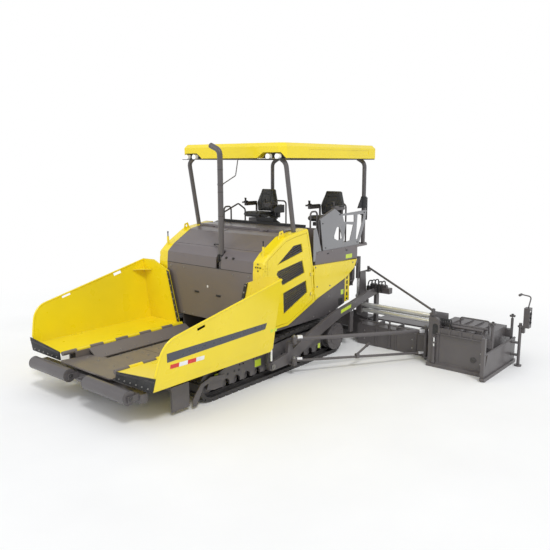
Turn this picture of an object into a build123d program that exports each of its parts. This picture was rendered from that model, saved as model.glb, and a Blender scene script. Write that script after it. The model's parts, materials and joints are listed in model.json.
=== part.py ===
from build123d import *
import math
import os

# Tracked asphalt paver, millimetres. +X is the travel direction, +Y the left side, +Z up.
# The sizes below count X from the front canopy posts. Everything is moved by -X_MIDDLE when
# it is written, so the finished part has its origin under the middle of its bounding box.

# Clearances
FIT = 0.3
GAP = 6.0

# Track: one fixed loop of shoes on each side
IDLER_X = 2090.0
SPROCKET_X = -1040.0
TRACK_HEIGHT = 690.0
BODY_HALF_Y = 1260.0
TRACK_OUTER_Y = BODY_HALF_Y + 30
TRACK_WIDTH = 300.0
IDLER_HEIGHT = 520.0
CARRIER_X = 150.0
CARRIER_R = 150.0
SHOE_COUNT = 56
SHOE_HEIGHT = 32.0
SHOE_SHARE = 0.84
BELT_THICK = 34.0
CHAIN_WIDTH = 120.0
CHAIN_THICK = 40.0
TRACK_INNER_Y = TRACK_OUTER_Y - TRACK_WIDTH
TRACK_MID_Y = TRACK_OUTER_Y - TRACK_WIDTH / 2
WHEEL_Z = TRACK_HEIGHT / 2
WHEEL_WIDTH = 90.0
ROLLER_R = 70.0
ROLLER_COUNT = 11
SCALLOP_R = 76.0
FRAME_PLATE = 30.0
FRAME_PLATE_Y = TRACK_OUTER_Y - 42.0
DRIVE_COVER_R = 250.0
DRIVE_COVER_Y = TRACK_OUTER_Y + 55

# Chassis and conveyor
CHASSIS_HALF_Y = 700.0
CHASSIS_FLOOR_Z = 250.0
CHASSIS_FRONT_X = 3090.0
CHASSIS_REAR_X = -1390.0
PLATE = 20.0
FLOOR_Z = 660.0
TUNNEL_TOP_Z = 830.0
CHASSIS_TOP_Z = 1100.0
FEED_Z = 440.0
CONVEYOR_MIDDLE = 60.0
CONVEYOR_HALF = 480.0
PANEL_INNER_Y = BODY_HALF_Y - 90
APRON_FRONT_X = 3405.0
APRON_REAR_X = 2920.0
APRON_HALF_Y = 645.0
APRON_Z = 560.0
SLOT_INNER_Y = 275.0
SLOT_OUTER_Y = 385.0
COVER_Z = 530.0
COVER_THICK = 18.0
SLOT_FRONT_X = 2800.0
SLAT_PITCH = 160.0
SLAT_WIDTH = 34.0
SLAT_HEIGHT = 22.0

# Hopper wings
HINGE_Y = 657.0
HINGE_Z = 650.0
KNUCKLE_R = 34.0
PIN_R = 15.0
WING_FRONT_X = 3350.0
WING_REAR_X = 945.0
WING_FOOT_Y = 1494.0
WING_FOOT_Z = 552.0
WING_RIM_Y = 1686.0
WING_RIM_Z = 1746.0
WING_WALL = 14.0
WING_RIM_R = 16.0
KNUCKLE_COUNT = 10
FEED_HALF_Y = HINGE_Y - KNUCKLE_R - GAP
WING_BACK = 25.0
WING_RIM_SLOPE = 12.8
WING_CORNER_R = 320.0
# Upper inner corners of the wing's rear wall, in Y and Z
WING_BACK_TOP = [(959, 1587), (1368, 1752)]
# Slots in the wing walls: X and Z of the middle, and length
LEFT_SLOTS = [(2585, 1300, 150)]
RIGHT_SLOTS = [(2650, 1333, 170), (1578, 1560, 170)]

# Tractor body
ARCH_CHAMFER = 22.0
EYE_X = 325.0
EYE_Z = 2342.0
EYE_R = 24.0
FRONT_WALL_X = 905.0
ARCH_WIDTH = 215.0
BODY_REAR_X = -1900.0
FRONT_WALL_TOP_Z = 1740.0 - FIT
PLATFORM_Z = 2375.0
DECK_Z = 1950.0
DECK_THICK = 40.0
DECK_REAR_X = -2250.0
SKIN = 30.0
HOOD_FRONT_X = 697.0
HOOD_HINGE_X = 95.0
HOOD_HINGE_Z = 2350.0
DOOR_HINGE_X = -455.0
DOOR_HINGE_Y = BODY_HALF_Y + 13
DOOR_HINGE_Z = (1210.0, 1560.0)
GRILLE_PITCH = 38.0
GRILLE_SLOT = 16.0
GRILLE_THICK = 12.0
ENGINE_FRONT_X = 700.0
SEAT_Y = 820.0
GUARD_Y = BODY_HALF_Y - 57
GUARD_THICK = 15.0
RAIL_R = 16.0
REAR_RAIL_X = -1930.0
LADDER_LOW_Z = 1130.0
LAMP_R = 45.0

# Exhaust
EXHAUST_X = 820.0
EXHAUST_Y = 258.0
EXHAUST_R = 47.0
EXHAUST_TOP_Z = 3550.0

# Canopy
ROOF_UNDER_Z = 3580.0
ROOF_THICK = 250.0
ROOF_FRONT_X = 360.0
ROOF_REAR_X = -2583.0
ROOF_HALF_Y = 1224.0
NOTCH_HEIGHT = 92.0
NOTCH_DEPTH = 110.0
LAMP_Y = (885.0, 1085.0)
POST_R = 40.0
FRONT_POST_LEAN = 215.0
POST_Y = BODY_HALF_Y - 100
REAR_POST_X = -2200.0

# Push rollers
PUSH_X = 3512.0
PUSH_Z = 448.0
PUSH_R = 98.0
PUSH_INNER_Y = 215.0
PUSH_OUTER_Y = 1190.0
PUSH_PIVOT_X = 3180.0
PUSH_PIN_R = 25.0
TOW_EYE_X = 3430.0
TOW_EYE_R = 30.0
PUSH_BEAM_LOW = 340.0
PUSH_BEAM_TOP = 465.0

# Augers
AUGER_X = -1660.0
AUGER_Z = 350.0
AUGER_R = 185.0
AUGER_SHAFT_R = 45.0
AUGER_PITCH = 300.0
FLIGHT_THICK = 34.0
FLIGHT_STEPS = 16
AUGER_CASE_Y = 60.0
AUGER_HANGER_Y = 1250.0

# Tow arms and screed
TOW_X = 860.0
TOW_Z = 250.0
ARM_Y = BODY_HALF_Y + 102
ARM_THICK = 60.0
TOW_BOSS_R = 70.0
TOW_PIN_R = 30.0
LIFT_X = -2120.0
LIFT_ROD_R = 22.0
LIFT_EYE_Z = 900.0
GUIDE_R = 40.0
SCREED_FRONT_X = -2290.0
SCREED_DEPTH = 350.0
SCREED_HALF_Y = 1250.0
TOWER_Y = SCREED_HALF_Y - 75
LIFT_Y = TOWER_Y - 55
EXT_INNER_Y = SCREED_HALF_Y + 12
SCREED_HEIGHT = 430.0
EXT_FRONT_X = -1930.0
EXT_INNER_REAR_X = -2270.0
EXT_REAR_X = -2640.0
STEP_Y = 2950.0
OUTER_EXT_FRONT_X = -1550.0
END_PLATE_Y = 4060.0
END_PLATE_THICK = 30.0
END_PLATE_FRONT_X = -1293.0
END_PLATE_REAR_X = -2703.0
WALKWAY_DEPTH = 330.0
WALKWAY_Z = 330.0
EXT_END_Y = 3920.0
EXT_HEIGHT = 660.0
BULKHEAD_TOP_Z = 935.0
GATE_TOP_Z = 440.0
STAY_PIVOT_X = -1600.0
STAY_PIVOT_Y = 3000.0
STAY_EYE_X = -2340.0
STAY_EYE_Y = TOWER_Y + 45
STAY_LOW_Z = 970.0
STAY_TOP_Z = 1455.0
STAY_R = 20.0
TOWER_TOP_Z = 1400.0
GATE_POST_X = -2500.0
# Jack screws of the end gate: X and top
JACKS = [(-1700, 905), (-2610, 870)]
BRACE_PIVOT_X = -1800.0
BRACE_PIVOT_Y = 2780.0
BRACE_FRONT_X = 400.0
BRACE_SHELF_Z = 577.0
BRACE_LOW_Z = 207.0
BRACE_POST_LOW = 70.0
BRACE_POST_TOP = 590.0
BRACE_PIN_R = 15.0

X_FRONT = PUSH_X + PUSH_R
X_REAR = END_PLATE_REAR_X - WALKWAY_DEPTH
X_MIDDLE = (X_FRONT + X_REAR) / 2


def block(x0, x1, y0, y1, z0, z1):
    """A plain block between six faces."""
    middle = Pos((x0 + x1) / 2, (y0 + y1) / 2, (z0 + z1) / 2)
    return middle * Box(abs(x1 - x0), abs(y1 - y0), abs(z1 - z0))


def hollow_box(x0, x1, y0, y1, z0, z1, wall):
    """A closed steel box of plates, with one long opening in its rear wall."""
    shape = block(x0, x1, y0, y1, z0, z1) - block(x0 + wall, x1 - wall, y0 + wall, y1 - wall, z0 + wall, z1 - wall)
    middle = (z0 + z1) / 2
    return shape - block(x0 - 1, x0 + wall + 1, y0 + 120, y1 - 120, middle - 60, middle + 60)


def slab_xz(points, y0, y1):
    """A plate with its outline in X and Z, thick along Y."""
    outline = Polyline([(x, y0, z) for x, z in points], close=True)
    return extrude(make_face(outline), amount=y1 - y0, dir=(0, 1, 0))


def slab_yz(points, x0, x1):
    """A plate with its outline in Y and Z, thick along X."""
    outline = Polyline([(x0, y, z) for y, z in points], close=True)
    return extrude(make_face(outline), amount=x1 - x0, dir=(1, 0, 0))


def slab_xy(points, z0, z1):
    """A plate with its outline in X and Y, thick along Z."""
    outline = Polyline([(x, y, z0) for x, y in points], close=True)
    return extrude(make_face(outline), amount=z1 - z0, dir=(0, 0, 1))


def rod(start, end, radius):
    """A round bar from one point to another."""
    axis = Vector(*end) - Vector(*start)
    base = Plane(origin=start, z_dir=axis)
    return base * Cylinder(radius, axis.length, align=(Align.CENTER, Align.CENTER, Align.MIN))


def disc_y(x, z, radius, y0, y1):
    """A round disc with its axis along Y."""
    return rod((x, min(y0, y1), z), (x, max(y0, y1), z), radius)


def bent_tube(points, bend, radius):
    """A round tube along straight runs joined by arcs."""
    path = FilletPolyline(*points, radius=bend)
    return sweep((path ^ 0) * Circle(radius), path=path)


def right_side(shape):
    """The same piece on the other side of the machine."""
    return mirror(shape, about=Plane.XZ)


def save(name, pieces):
    """Write one node, moved so that the bounding box is centred."""
    solids = []
    for piece in pieces:
        solids.extend(piece.solids())
    placed = [solid.moved(Location((-X_MIDDLE, 0, 0))) for solid in solids]
    shape = placed[0] if len(placed) == 1 else Compound(placed)
    export_step(shape, f"parts/{name}.step")


# Track loop
SPROCKET = (SPROCKET_X, WHEEL_Z, WHEEL_Z - SHOE_HEIGHT)
IDLER = (IDLER_X, IDLER_HEIGHT / 2, IDLER_HEIGHT / 2 - SHOE_HEIGHT)
CARRIER = (CARRIER_X, TRACK_HEIGHT - SHOE_HEIGHT - CARRIER_R, CARRIER_R)
LOOP = [SPROCKET, CARRIER, IDLER]


def loop_runs():
    """Arcs and straights of the belt, clockwise seen from the left, as centre, radius, angles or ends."""
    runs = []
    count = len(LOOP)
    angles = []
    for number in range(count):
        x0, z0, r0 = LOOP[number]
        x1, z1, r1 = LOOP[(number + 1) % count]
        reach = math.hypot(x1 - x0, z1 - z0)
        heading = math.atan2(z1 - z0, x1 - x0)
        angles.append(heading + math.acos((r0 - r1) / reach))
    for number in range(count):
        x0, z0, r0 = LOOP[number]
        x1, z1, r1 = LOOP[(number + 1) % count]
        start = angles[number - 1]
        end = angles[number]
        turn = (start - end) % (2 * math.pi)
        runs.append(("arc", r0 * turn, x0, z0, r0, start))
        ax, az = x0 + r0 * math.cos(end), z0 + r0 * math.sin(end)
        bx, bz = x1 + r1 * math.cos(end), z1 + r1 * math.sin(end)
        runs.append(("line", math.hypot(bx - ax, bz - az), ax, az, end, (bx - ax, bz - az)))
    return runs


RUNS = loop_runs()
LOOP_LENGTH = sum(run[1] for run in RUNS)


def loop_point(distance, offset):
    """The point at a distance along the belt, moved outward by an offset."""
    distance = distance % LOOP_LENGTH
    for run in RUNS:
        if distance <= run[1]:
            break
        distance = distance - run[1]
    if run[0] == "arc":
        x, z, radius, start = run[2:]
        angle = start - distance / radius
        return x + (radius + offset) * math.cos(angle), z + (radius + offset) * math.sin(angle)
    x, z, normal, step = run[2:]
    share = distance / run[1]
    return x + step[0] * share + offset * math.cos(normal), z + step[1] * share + offset * math.sin(normal)


def loop_solid(offset, y0, y1):
    """The solid inside the belt, moved outward by an offset."""
    circles = [Pos(x, z) * Circle(r + offset) for x, z, r in LOOP]
    edges = []
    for circle in circles:
        edges.extend(circle.edges())
    face = make_hull(edges)
    flat = Plane(origin=(0, y0, 0), x_dir=(1, 0, 0), z_dir=(0, -1, 0))
    return extrude(flat * face, amount=y1 - y0, dir=(0, 1, 0))


def track():
    """Belt, link chain and shoes as one fixed loop."""
    pitch = LOOP_LENGTH / SHOE_COUNT
    half = pitch * SHOE_SHARE / 2
    points = []
    for number in range(SHOE_COUNT):
        middle = (number + 0.5) * pitch
        points.append(loop_point(middle - half, 0))
        points.append(loop_point(middle - half * 0.92, SHOE_HEIGHT))
        points.append(loop_point(middle + half * 0.92, SHOE_HEIGHT))
        points.append(loop_point(middle + half, 0))
    shoes = slab_xz(points, TRACK_INNER_Y, TRACK_OUTER_Y)
    hollow = loop_solid(-BELT_THICK, TRACK_INNER_Y - 1, TRACK_OUTER_Y + 1)
    y0 = TRACK_MID_Y - CHAIN_WIDTH / 2
    y1 = y0 + CHAIN_WIDTH
    chain = loop_solid(-BELT_THICK + 2, y0, y1) - loop_solid(-BELT_THICK - CHAIN_THICK, y0 - 1, y1 + 1)
    return (shoes - hollow) + chain


def roller_places():
    """X of each bottom roller."""
    front = IDLER_X - 330
    rear = SPROCKET_X + 430
    pitch = (front - rear) / (ROLLER_COUNT - 1)
    return [rear + number * pitch for number in range(ROLLER_COUNT)]


# Small holes of the roller guard, in X and Z
GUARD_HOLE_PLACES = [(1450, 400), (1370, 400), (1130, 410), (1050, 410), (1260, 465), (1180, 465)]


def track_frame():
    """Side beam between the wheels, with its roller guard plate."""
    half = CHAIN_WIDTH / 2
    rollers = roller_places()
    beam = block(rollers[0] - 60, rollers[-1] + 60, TRACK_MID_Y - half, TRACK_MID_Y + half, 270, 400)
    front = rollers[-1] + 250
    rear = rollers[0] - 100
    low = 150.0
    outline = [(rear, low), (front, low), (front + 150, low + 40), (front + 100, 330), (1800, 420), (1500, 470),
               (CARRIER_X, 570), (rear + 150, 570), (rear, 480)]
    guard = slab_xz(outline, FRAME_PLATE_Y - FRAME_PLATE, FRAME_PLATE_Y)
    for x in rollers:
        guard = guard - disc_y(x, 180, SCALLOP_R, FRAME_PLATE_Y - 60, FRAME_PLATE_Y + 60)
        guard = guard - block(x - SCALLOP_R, x + SCALLOP_R, FRAME_PLATE_Y - 60, FRAME_PLATE_Y + 60, low - 1, 180)
    for x, z in GUARD_HOLE_PLACES:
        guard = guard - disc_y(x, z, 15, FRAME_PLATE_Y - 60, FRAME_PLATE_Y + 60)
    nose = [(1850, 290), (2120, 330), (2290, 290), (2430, 45), (2500, 45), (2500, 150), (2343, 345), (2144, 400),
            (1850, 370)]
    guard = guard + slab_xz(nose, TRACK_OUTER_Y + GAP, TRACK_OUTER_Y + GAP + PLATE)
    guard = guard + block(1870, 1980, FRAME_PLATE_Y - 1, TRACK_OUTER_Y + GAP + 1, 300, 350)
    frame = beam + guard + block(rear + 100, front - 200, CHASSIS_HALF_Y, TRACK_MID_Y - half, 290, 390)
    for x in (rollers[1], rollers[3], rollers[-2]):
        frame = frame + block(x - 60, x + 60, TRACK_MID_Y + half, FRAME_PLATE_Y - FRAME_PLATE, 285, 345)
    fork_x = IDLER_X - 110
    frame = frame + block(rollers[-1] + 50, fork_x, TRACK_MID_Y - half, TRACK_MID_Y - WHEEL_WIDTH / 2 - 5, 200, 320)
    return frame


def track_wheels():
    """Front idler, rear sprocket, bottom rollers and the top carrier roller."""
    y0 = TRACK_MID_Y - WHEEL_WIDTH / 2
    y1 = y0 + WHEEL_WIDTH
    inset = BELT_THICK + CHAIN_THICK + FIT
    pieces = []
    x, z, r = IDLER
    axle = disc_y(x, z, 45, y0 - 60, y0)
    pieces.append(disc_y(x, z, r - inset, y0, y1) + axle)
    x, z, r = SPROCKET
    cover = disc_y(x, z, DRIVE_COVER_R, TRACK_OUTER_Y + 12, DRIVE_COVER_Y)
    neck = disc_y(x, z, DRIVE_COVER_R * 0.7, y1, TRACK_OUTER_Y + 12)
    hub = disc_y(x, z, DRIVE_COVER_R * 0.7, CHASSIS_HALF_Y, y0)
    pieces.append(disc_y(x, z, r - inset, y0, y1) + cover + neck + hub)
    low_z = SHOE_HEIGHT + inset + ROLLER_R
    for x in roller_places():
        pieces.append(disc_y(x, low_z, ROLLER_R, y0, y1))
    x, z, r = CARRIER
    pieces.append(disc_y(x, z, r - inset, CHASSIS_HALF_Y, y1))
    return pieces


# Chassis
def chassis():
    """Side plates, belly plate, tunnel roof, cross walls, outriggers and push beam lugs."""
    half = CHASSIS_HALF_Y
    step_x = FRONT_WALL_X - SKIN
    frame = block(CHASSIS_REAR_X, CHASSIS_FRONT_X, -half, half, CHASSIS_FLOOR_Z, CHASSIS_FLOOR_Z + PLATE)
    outline = [(CHASSIS_REAR_X, CHASSIS_FLOOR_Z), (CHASSIS_FRONT_X, CHASSIS_FLOOR_Z), (CHASSIS_FRONT_X, FEED_Z),
               (step_x, FEED_Z), (step_x, CHASSIS_TOP_Z), (CHASSIS_REAR_X, CHASSIS_TOP_Z)]
    frame = frame + slab_xz(outline, half - PLATE, half) + slab_xz(outline, -half, PLATE - half)
    frame = frame + block(CHASSIS_REAR_X, step_x, -half, half, TUNNEL_TOP_Z, TUNNEL_TOP_Z + PLATE)
    for x in (CHASSIS_REAR_X, step_x, CHASSIS_FRONT_X - PLATE):
        frame = frame + block(x, x + PLATE, -half, half, CHASSIS_FLOOR_Z, FEED_Z)
    for side in (-1, 1):
        for x in (-1250, -300, 700):
            frame = frame + block(x - 40, x + 40, side * half, side * PANEL_INNER_Y, 755, 790)
        y = side * half
        frame = frame + block(CHASSIS_REAR_X - 60, CHASSIS_REAR_X, y - side * 70, y, 290, CHASSIS_TOP_Z)
    boss_top = PUSH_BEAM_TOP + GAP
    boss_low = PUSH_BEAM_LOW - GAP
    for z in (boss_low - PLATE, boss_top):
        frame = frame + block(CHASSIS_FRONT_X, PUSH_PIVOT_X + 60, -80, 80, z, z + PLATE)
    pin = rod((PUSH_PIVOT_X, 0, boss_low - PLATE), (PUSH_PIVOT_X, 0, boss_top + PLATE), PUSH_PIN_R)
    return frame + pin


def body_frame():
    """Inner walls that carry the operator deck."""
    half = CHASSIS_HALF_Y
    top = DECK_Z - DECK_THICK
    wall = [(CHASSIS_REAR_X, CHASSIS_TOP_Z), (-400, CHASSIS_TOP_Z), (-400, top), (BODY_REAR_X + 60, top),
            (BODY_REAR_X + 60, 1690)]
    frame = slab_xz(wall, half - PLATE, half) + slab_xz(wall, -half, PLATE - half)
    return frame + block(-560, -540, PLATE - half, half - PLATE, TUNNEL_TOP_Z + PLATE, top)


def conveyor():
    """Floor plate and slats of both feed conveyors."""
    rear = CHASSIS_REAR_X - 40
    front = CHASSIS_FRONT_X
    floor = block(rear, front, -FEED_HALF_Y, FEED_HALF_Y, FEED_Z, FEED_Z + PLATE)
    count = int((front - rear - 200) // SLAT_PITCH)
    for side in (-1, 1):
        for number in range(count):
            x = front - 90 - number * SLAT_PITCH
            inner = side * CONVEYOR_MIDDLE
            outer = side * (CONVEYOR_MIDDLE + CONVEYOR_HALF)
            floor = floor + block(x - SLAT_WIDTH, x, inner, outer, FEED_Z + PLATE, FEED_Z + PLATE + SLAT_HEIGHT)
    return floor


def knuckle_spans(first):
    """Start and end of every second hinge knuckle, from the first or the second one on."""
    length = (WING_FRONT_X - WING_REAR_X) / KNUCKLE_COUNT
    return [(WING_REAR_X + number * length + GAP / 2, WING_REAR_X + (number + 1) * length - GAP / 2)
            for number in range(first, KNUCKLE_COUNT, 2)]


def hopper_floor():
    """Middle cover between the chain slots, sloping side covers and the fixed hinge knuckles."""
    rear = FRONT_WALL_X + GAP
    front = CHASSIS_FRONT_X + 60
    base = FEED_Z + PLATE
    middle = block(rear, front, -SLOT_INNER_Y, SLOT_INNER_Y, COVER_Z - COVER_THICK, COVER_Z)
    middle = middle + block(SLOT_FRONT_X, front, -SLOT_OUTER_Y, SLOT_OUTER_Y, COVER_Z - COVER_THICK, COVER_Z)
    web = CONVEYOR_MIDDLE / 2
    middle = middle + block(rear, CHASSIS_FRONT_X - GAP, -web, web, base, COVER_Z - 1)
    slope = [(SLOT_OUTER_Y, COVER_Z), (FEED_HALF_Y - PLATE, FLOOR_Z - 10), (FEED_HALF_Y, FLOOR_Z - 10),
             (FEED_HALF_Y, FLOOR_Z - 30), (SLOT_OUTER_Y, COVER_Z - COVER_THICK)]
    strip = slab_yz(slope, rear, APRON_REAR_X - FIT)
    strip = strip + block(rear, front, FEED_HALF_Y - PLATE, FEED_HALF_Y, base, FLOOR_Z - 10)
    for x0, x1 in knuckle_spans(1):
        strip = strip + rod((x0, HINGE_Y, HINGE_Z), (x1, HINGE_Y, HINGE_Z), KNUCKLE_R)
        strip = strip + block(x0, min(x1, front), FEED_HALF_Y - 1, HINGE_Y, HINGE_Z - 20, HINGE_Z)
    strip = strip + rod((WING_REAR_X + GAP, HINGE_Y, HINGE_Z), (WING_FRONT_X - GAP, HINGE_Y, HINGE_Z), PIN_R)
    return [middle, strip, right_side(strip)]


def front_apron():
    """Flat apron plate in front of the conveyor, flared forward, with a folded lip and two feet."""
    low = APRON_Z - 14
    half = SLOT_OUTER_Y + 160
    plate = slab_xy([(APRON_REAR_X, -half), (APRON_FRONT_X - 25, -APRON_HALF_Y), (APRON_FRONT_X, 30 - APRON_HALF_Y),
                     (APRON_FRONT_X, APRON_HALF_Y - 30), (APRON_FRONT_X - 25, APRON_HALF_Y), (APRON_REAR_X, half)],
                    low, APRON_Z)
    plate = plate + block(APRON_FRONT_X - 12, APRON_FRONT_X, 30 - APRON_HALF_Y, APRON_HALF_Y - 30, low - 10, low + 1)
    for side in (-1, 1):
        y = side * 430
        plate = plate + block(3000, 3090, y, y + side * 60, FEED_Z + PLATE, low + 1)
    return plate


def wing(slots):
    """Left hopper wing: floor, flared side wall with a rolled rim, rear wall and its own hinge knuckles."""
    inner_y = HINGE_Y + KNUCKLE_R + GAP
    front = WING_FRONT_X
    rear = WING_REAR_X
    slope = (WING_RIM_Y - WING_FOOT_Y) / (WING_RIM_Z - WING_FOOT_Z)
    floor_y = WING_FOOT_Y + slope * (FLOOR_Z - WING_FOOT_Z)
    under = FLOOR_Z - WING_WALL
    floor = block(rear, front, inner_y, floor_y, under, FLOOR_Z)
    top = [(front - 12, 760), (front - 55, 960), (front - 120, 1225), (rear, WING_RIM_Z)]
    side = [(front, WING_FOOT_Z)] + top + [(rear, WING_FOOT_Z + 50), (rear + 60, WING_FOOT_Z)]
    wall = slab_xz(side, 0, WING_WALL)
    corner = wall.edges().filter_by(Axis.Y).filter_by_position(Axis.X, front - 121, front - 119)
    wall = fillet(corner, WING_CORNER_R)
    for x, z, length in slots:
        hole = block(-length / 2, length / 2, -1, WING_WALL + 1, -25, 25)
        wall = wall - Pos(x, 0, z) * Rot(0, WING_RIM_SLOPE, 0) * hole
    rim = bent_tube([(x, WING_WALL / 2, z) for x, z in top], WING_CORNER_R, WING_RIM_R)
    wall = (wall + rim).translate((0, 0, -WING_FOOT_Z))
    wall = wall.rotate(Axis.X, -math.degrees(math.atan(slope)))
    wall = wall.translate((0, WING_FOOT_Y - WING_WALL, WING_FOOT_Z))
    back = slab_yz([(inner_y, under)] + WING_BACK_TOP + [(WING_RIM_Y - 10, WING_RIM_Z - 4),
                   (WING_FOOT_Y + slope * 60 - 5, under)], rear, rear + WING_BACK)
    gusset_z = 1560
    corner_y = WING_FOOT_Y - WING_WALL / 2 + slope * (gusset_z - WING_FOOT_Z)
    reach = rear + WING_BACK
    gusset = [(reach - 1, corner_y), (reach + 170, corner_y), (reach - 1, corner_y - 150)]
    shape = floor + wall + back + slab_xy(gusset, gusset_z, gusset_z + 8)
    for x0, x1 in knuckle_spans(0):
        shape = shape + rod((x0, HINGE_Y, HINGE_Z), (x1, HINGE_Y, HINGE_Z), KNUCKLE_R)
        shape = shape + block(x0, x1, HINGE_Y, inner_y + 1, under, FLOOR_Z)
    return shape - rod((rear - 10, HINGE_Y, HINGE_Z), (front + 10, HINGE_Y, HINGE_Z), PIN_R + FIT)


def wing_flap():
    """Rubber flap across the front of the left wing, and the sealing strip along its rear wall."""
    outline = [(HINGE_Y + 42, WING_FOOT_Z - 8), (WING_FOOT_Y - 6, WING_FOOT_Z), (WING_FOOT_Y + 60, 750),
               (HINGE_Y + 60, FLOOR_Z + 10)]
    flap = slab_yz(outline, WING_FRONT_X + FIT, WING_FRONT_X + 20)
    low = (HINGE_Y + KNUCKLE_R + 20, FLOOR_Z + 15)
    top = WING_BACK_TOP[0]
    seal = [(low[0] - 20, low[1]), (low[0] + 40, low[1]), (top[0] + 40, top[1] + 10), (top[0] - 20, top[1] - 15)]
    face = WING_REAR_X + WING_BACK + FIT
    return [flap, slab_yz(seal, face, face + 10)]


# Tractor body
# Side outline of the arch, in X and Z: along the top from the front wall to the rear seam
ARCH_TOP = [(FRONT_WALL_X, 1740), (FRONT_WALL_X - 20, 1930), (742, 2055), (335, 2290), (123, 2331), (-271, 2389)]
ARCH_REAR = [(-353, 2072), (-423, 1735), (-441, 1430), (-500, 1087)]
SILL = [(258, 795), (FRONT_WALL_X, 795)]
DIAGONAL = [(-1758, 1532), (-1487, 1379), (-606, 1129)]
DOOR = [(790, 835), (790, 1960), (330, 2225), (123, 2270), (-245, 2325), (-312, 2072), (-385, 1735), (-400, 1430),
        (-440, 1120), (270, 835)]
VENTS = [[(553, 1858), (121, 2136), (-99, 2152), (-138, 2010)],
         [(564, 1712), (530, 1759), (-127, 1865), (-192, 1639), (403, 1502)],
         [(391, 1371), (-232, 1500), (-274, 1280), (379, 1003)]]


def front_wall():
    """Upright wall behind the hopper, over the conveyor tunnel."""
    half = BODY_HALF_Y - ARCH_WIDTH - FIT
    return block(FRONT_WALL_X - SKIN, FRONT_WALL_X, -half, half, TUNNEL_TOP_Z, FRONT_WALL_TOP_Z)


def side_arch():
    """Yellow side band over the left body side, with pillar, door frame, lifting eye and marker rod."""
    inner = BODY_HALF_Y - ARCH_WIDTH
    band = slab_xz(ARCH_TOP + ARCH_REAR + SILL, inner, BODY_HALF_Y)
    outer = band.edges().filter_by_position(Axis.Y, BODY_HALF_Y - 1, BODY_HALF_Y + 1)
    outer = outer.filter_by_position(Axis.Z, 1900, 2400).filter_by_position(Axis.X, -300, FRONT_WALL_X - 15)
    band = chamfer(outer, ARCH_CHAMFER)
    band = band - slab_xz(DOOR, inner + SKIN, BODY_HALF_Y + 1)
    for dx, dz in ((0, 0), (-42, 0), (42, 0), (0, -42), (0, 42)):
        band = band - disc_y(848 + dx, 1835 + dz, 9, BODY_HALF_Y - 20, BODY_HALF_Y + 1)
    eye_y = BODY_HALF_Y - 103
    eye = slab_xz([(240, 2290), (400, 2235), (365, 2380), (290, 2400)], eye_y - 8, eye_y + 8)
    band = band + (eye - disc_y(EYE_X, EYE_Z, EYE_R, eye_y - 20, eye_y + 20))
    return band + rod((777, BODY_HALF_Y - 100, 2010), (777, BODY_HALF_Y - 100, 2150), 13)


def side_door():
    """Left side door with three vent openings and its hinge barrel."""
    c = GAP
    outline = [(790 - c, 835 + c), (790 - c, 1960 - c), (328, 2225 - c), (123, 2270 - c), (c - 245, 2325 - c),
               (c - 312, 2072), (c - 385, 1735), (c - 400, 1430), (c - 438, 1120 + c), (270, 835 + c)]
    door = slab_xz(outline, BODY_HALF_Y - SKIN, BODY_HALF_Y)
    for vent in VENTS:
        door = door - slab_xz(vent, BODY_HALF_Y - SKIN - 1, BODY_HALF_Y + 1)
    for z in DOOR_HINGE_Z:
        door = door + rod((DOOR_HINGE_X, DOOR_HINGE_Y, z), (DOOR_HINGE_X, DOOR_HINGE_Y, z + 60), 12)
        door = door + block(DOOR_HINGE_X, -330, BODY_HALF_Y + 1, BODY_HALF_Y + 7, z, z + 60)
        door = door + block(-390, -330, BODY_HALF_Y - 1, BODY_HALF_Y + 7, z, z + 60)
    return door


def door_grilles():
    """Dark slotted grilles in the vent openings of the left door."""
    grilles = []
    for vent in VENTS:
        face = make_face(Polyline([(x, z) for x, z in vent], close=True))
        inset = offset(face, amount=-24)
        top = max(z for x, z in vent)
        low = min(z for x, z in vent)
        bars = []
        for number in range(int((top - low + 200) // GRILLE_PITCH)):
            z = low - 40 + number * GRILLE_PITCH
            bars.append(Pos((vent[0][0] + vent[2][0]) / 2, z) * Rot(0, 0, -14) * Rectangle(1200, GRILLE_SLOT))
        slots = inset & Sketch(children=bars)
        flat = Plane(origin=(0, BODY_HALF_Y - SKIN, 0), x_dir=(1, 0, 0), z_dir=(0, -1, 0))
        sheet = extrude(flat * (face - slots), amount=GRILLE_THICK, dir=(0, 1, 0))
        grilles.append(sheet)
    return grilles


def side_panel():
    """Plain yellow rear side panel, left."""
    outline = [(-441 - GAP, 1725), (-1846, 1686)] + DIAGONAL + [(-508, 1095)]
    panel = slab_xz(outline, BODY_HALF_Y - SKIN, BODY_HALF_Y)
    for z in DOOR_HINGE_Z:
        low = z + 60 + FIT
        panel = panel + rod((DOOR_HINGE_X, DOOR_HINGE_Y, low), (DOOR_HINGE_X, DOOR_HINGE_Y, low + 50), 12)
        panel = panel + block(DOOR_HINGE_X - 90, DOOR_HINGE_X, BODY_HALF_Y + 1, BODY_HALF_Y + 7, low, low + 50)
        panel = panel + block(DOOR_HINGE_X - 90, DOOR_HINGE_X - 45, BODY_HALF_Y - 1, BODY_HALF_Y + 7, low, low + 50)
    return panel


def lower_panel():
    """Grey lower side panel between the yellow side and the track."""
    outline = [(-1480, 880), (-1487, 1420), (-606, 1170), (-508, 1130), (-500, 1087)] + SILL
    outline = outline + [(FRONT_WALL_X, 740), (-800, 740), (-1066, 777)]
    return slab_xz(outline, PANEL_INNER_Y, BODY_HALF_Y - SKIN - FIT)


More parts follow.
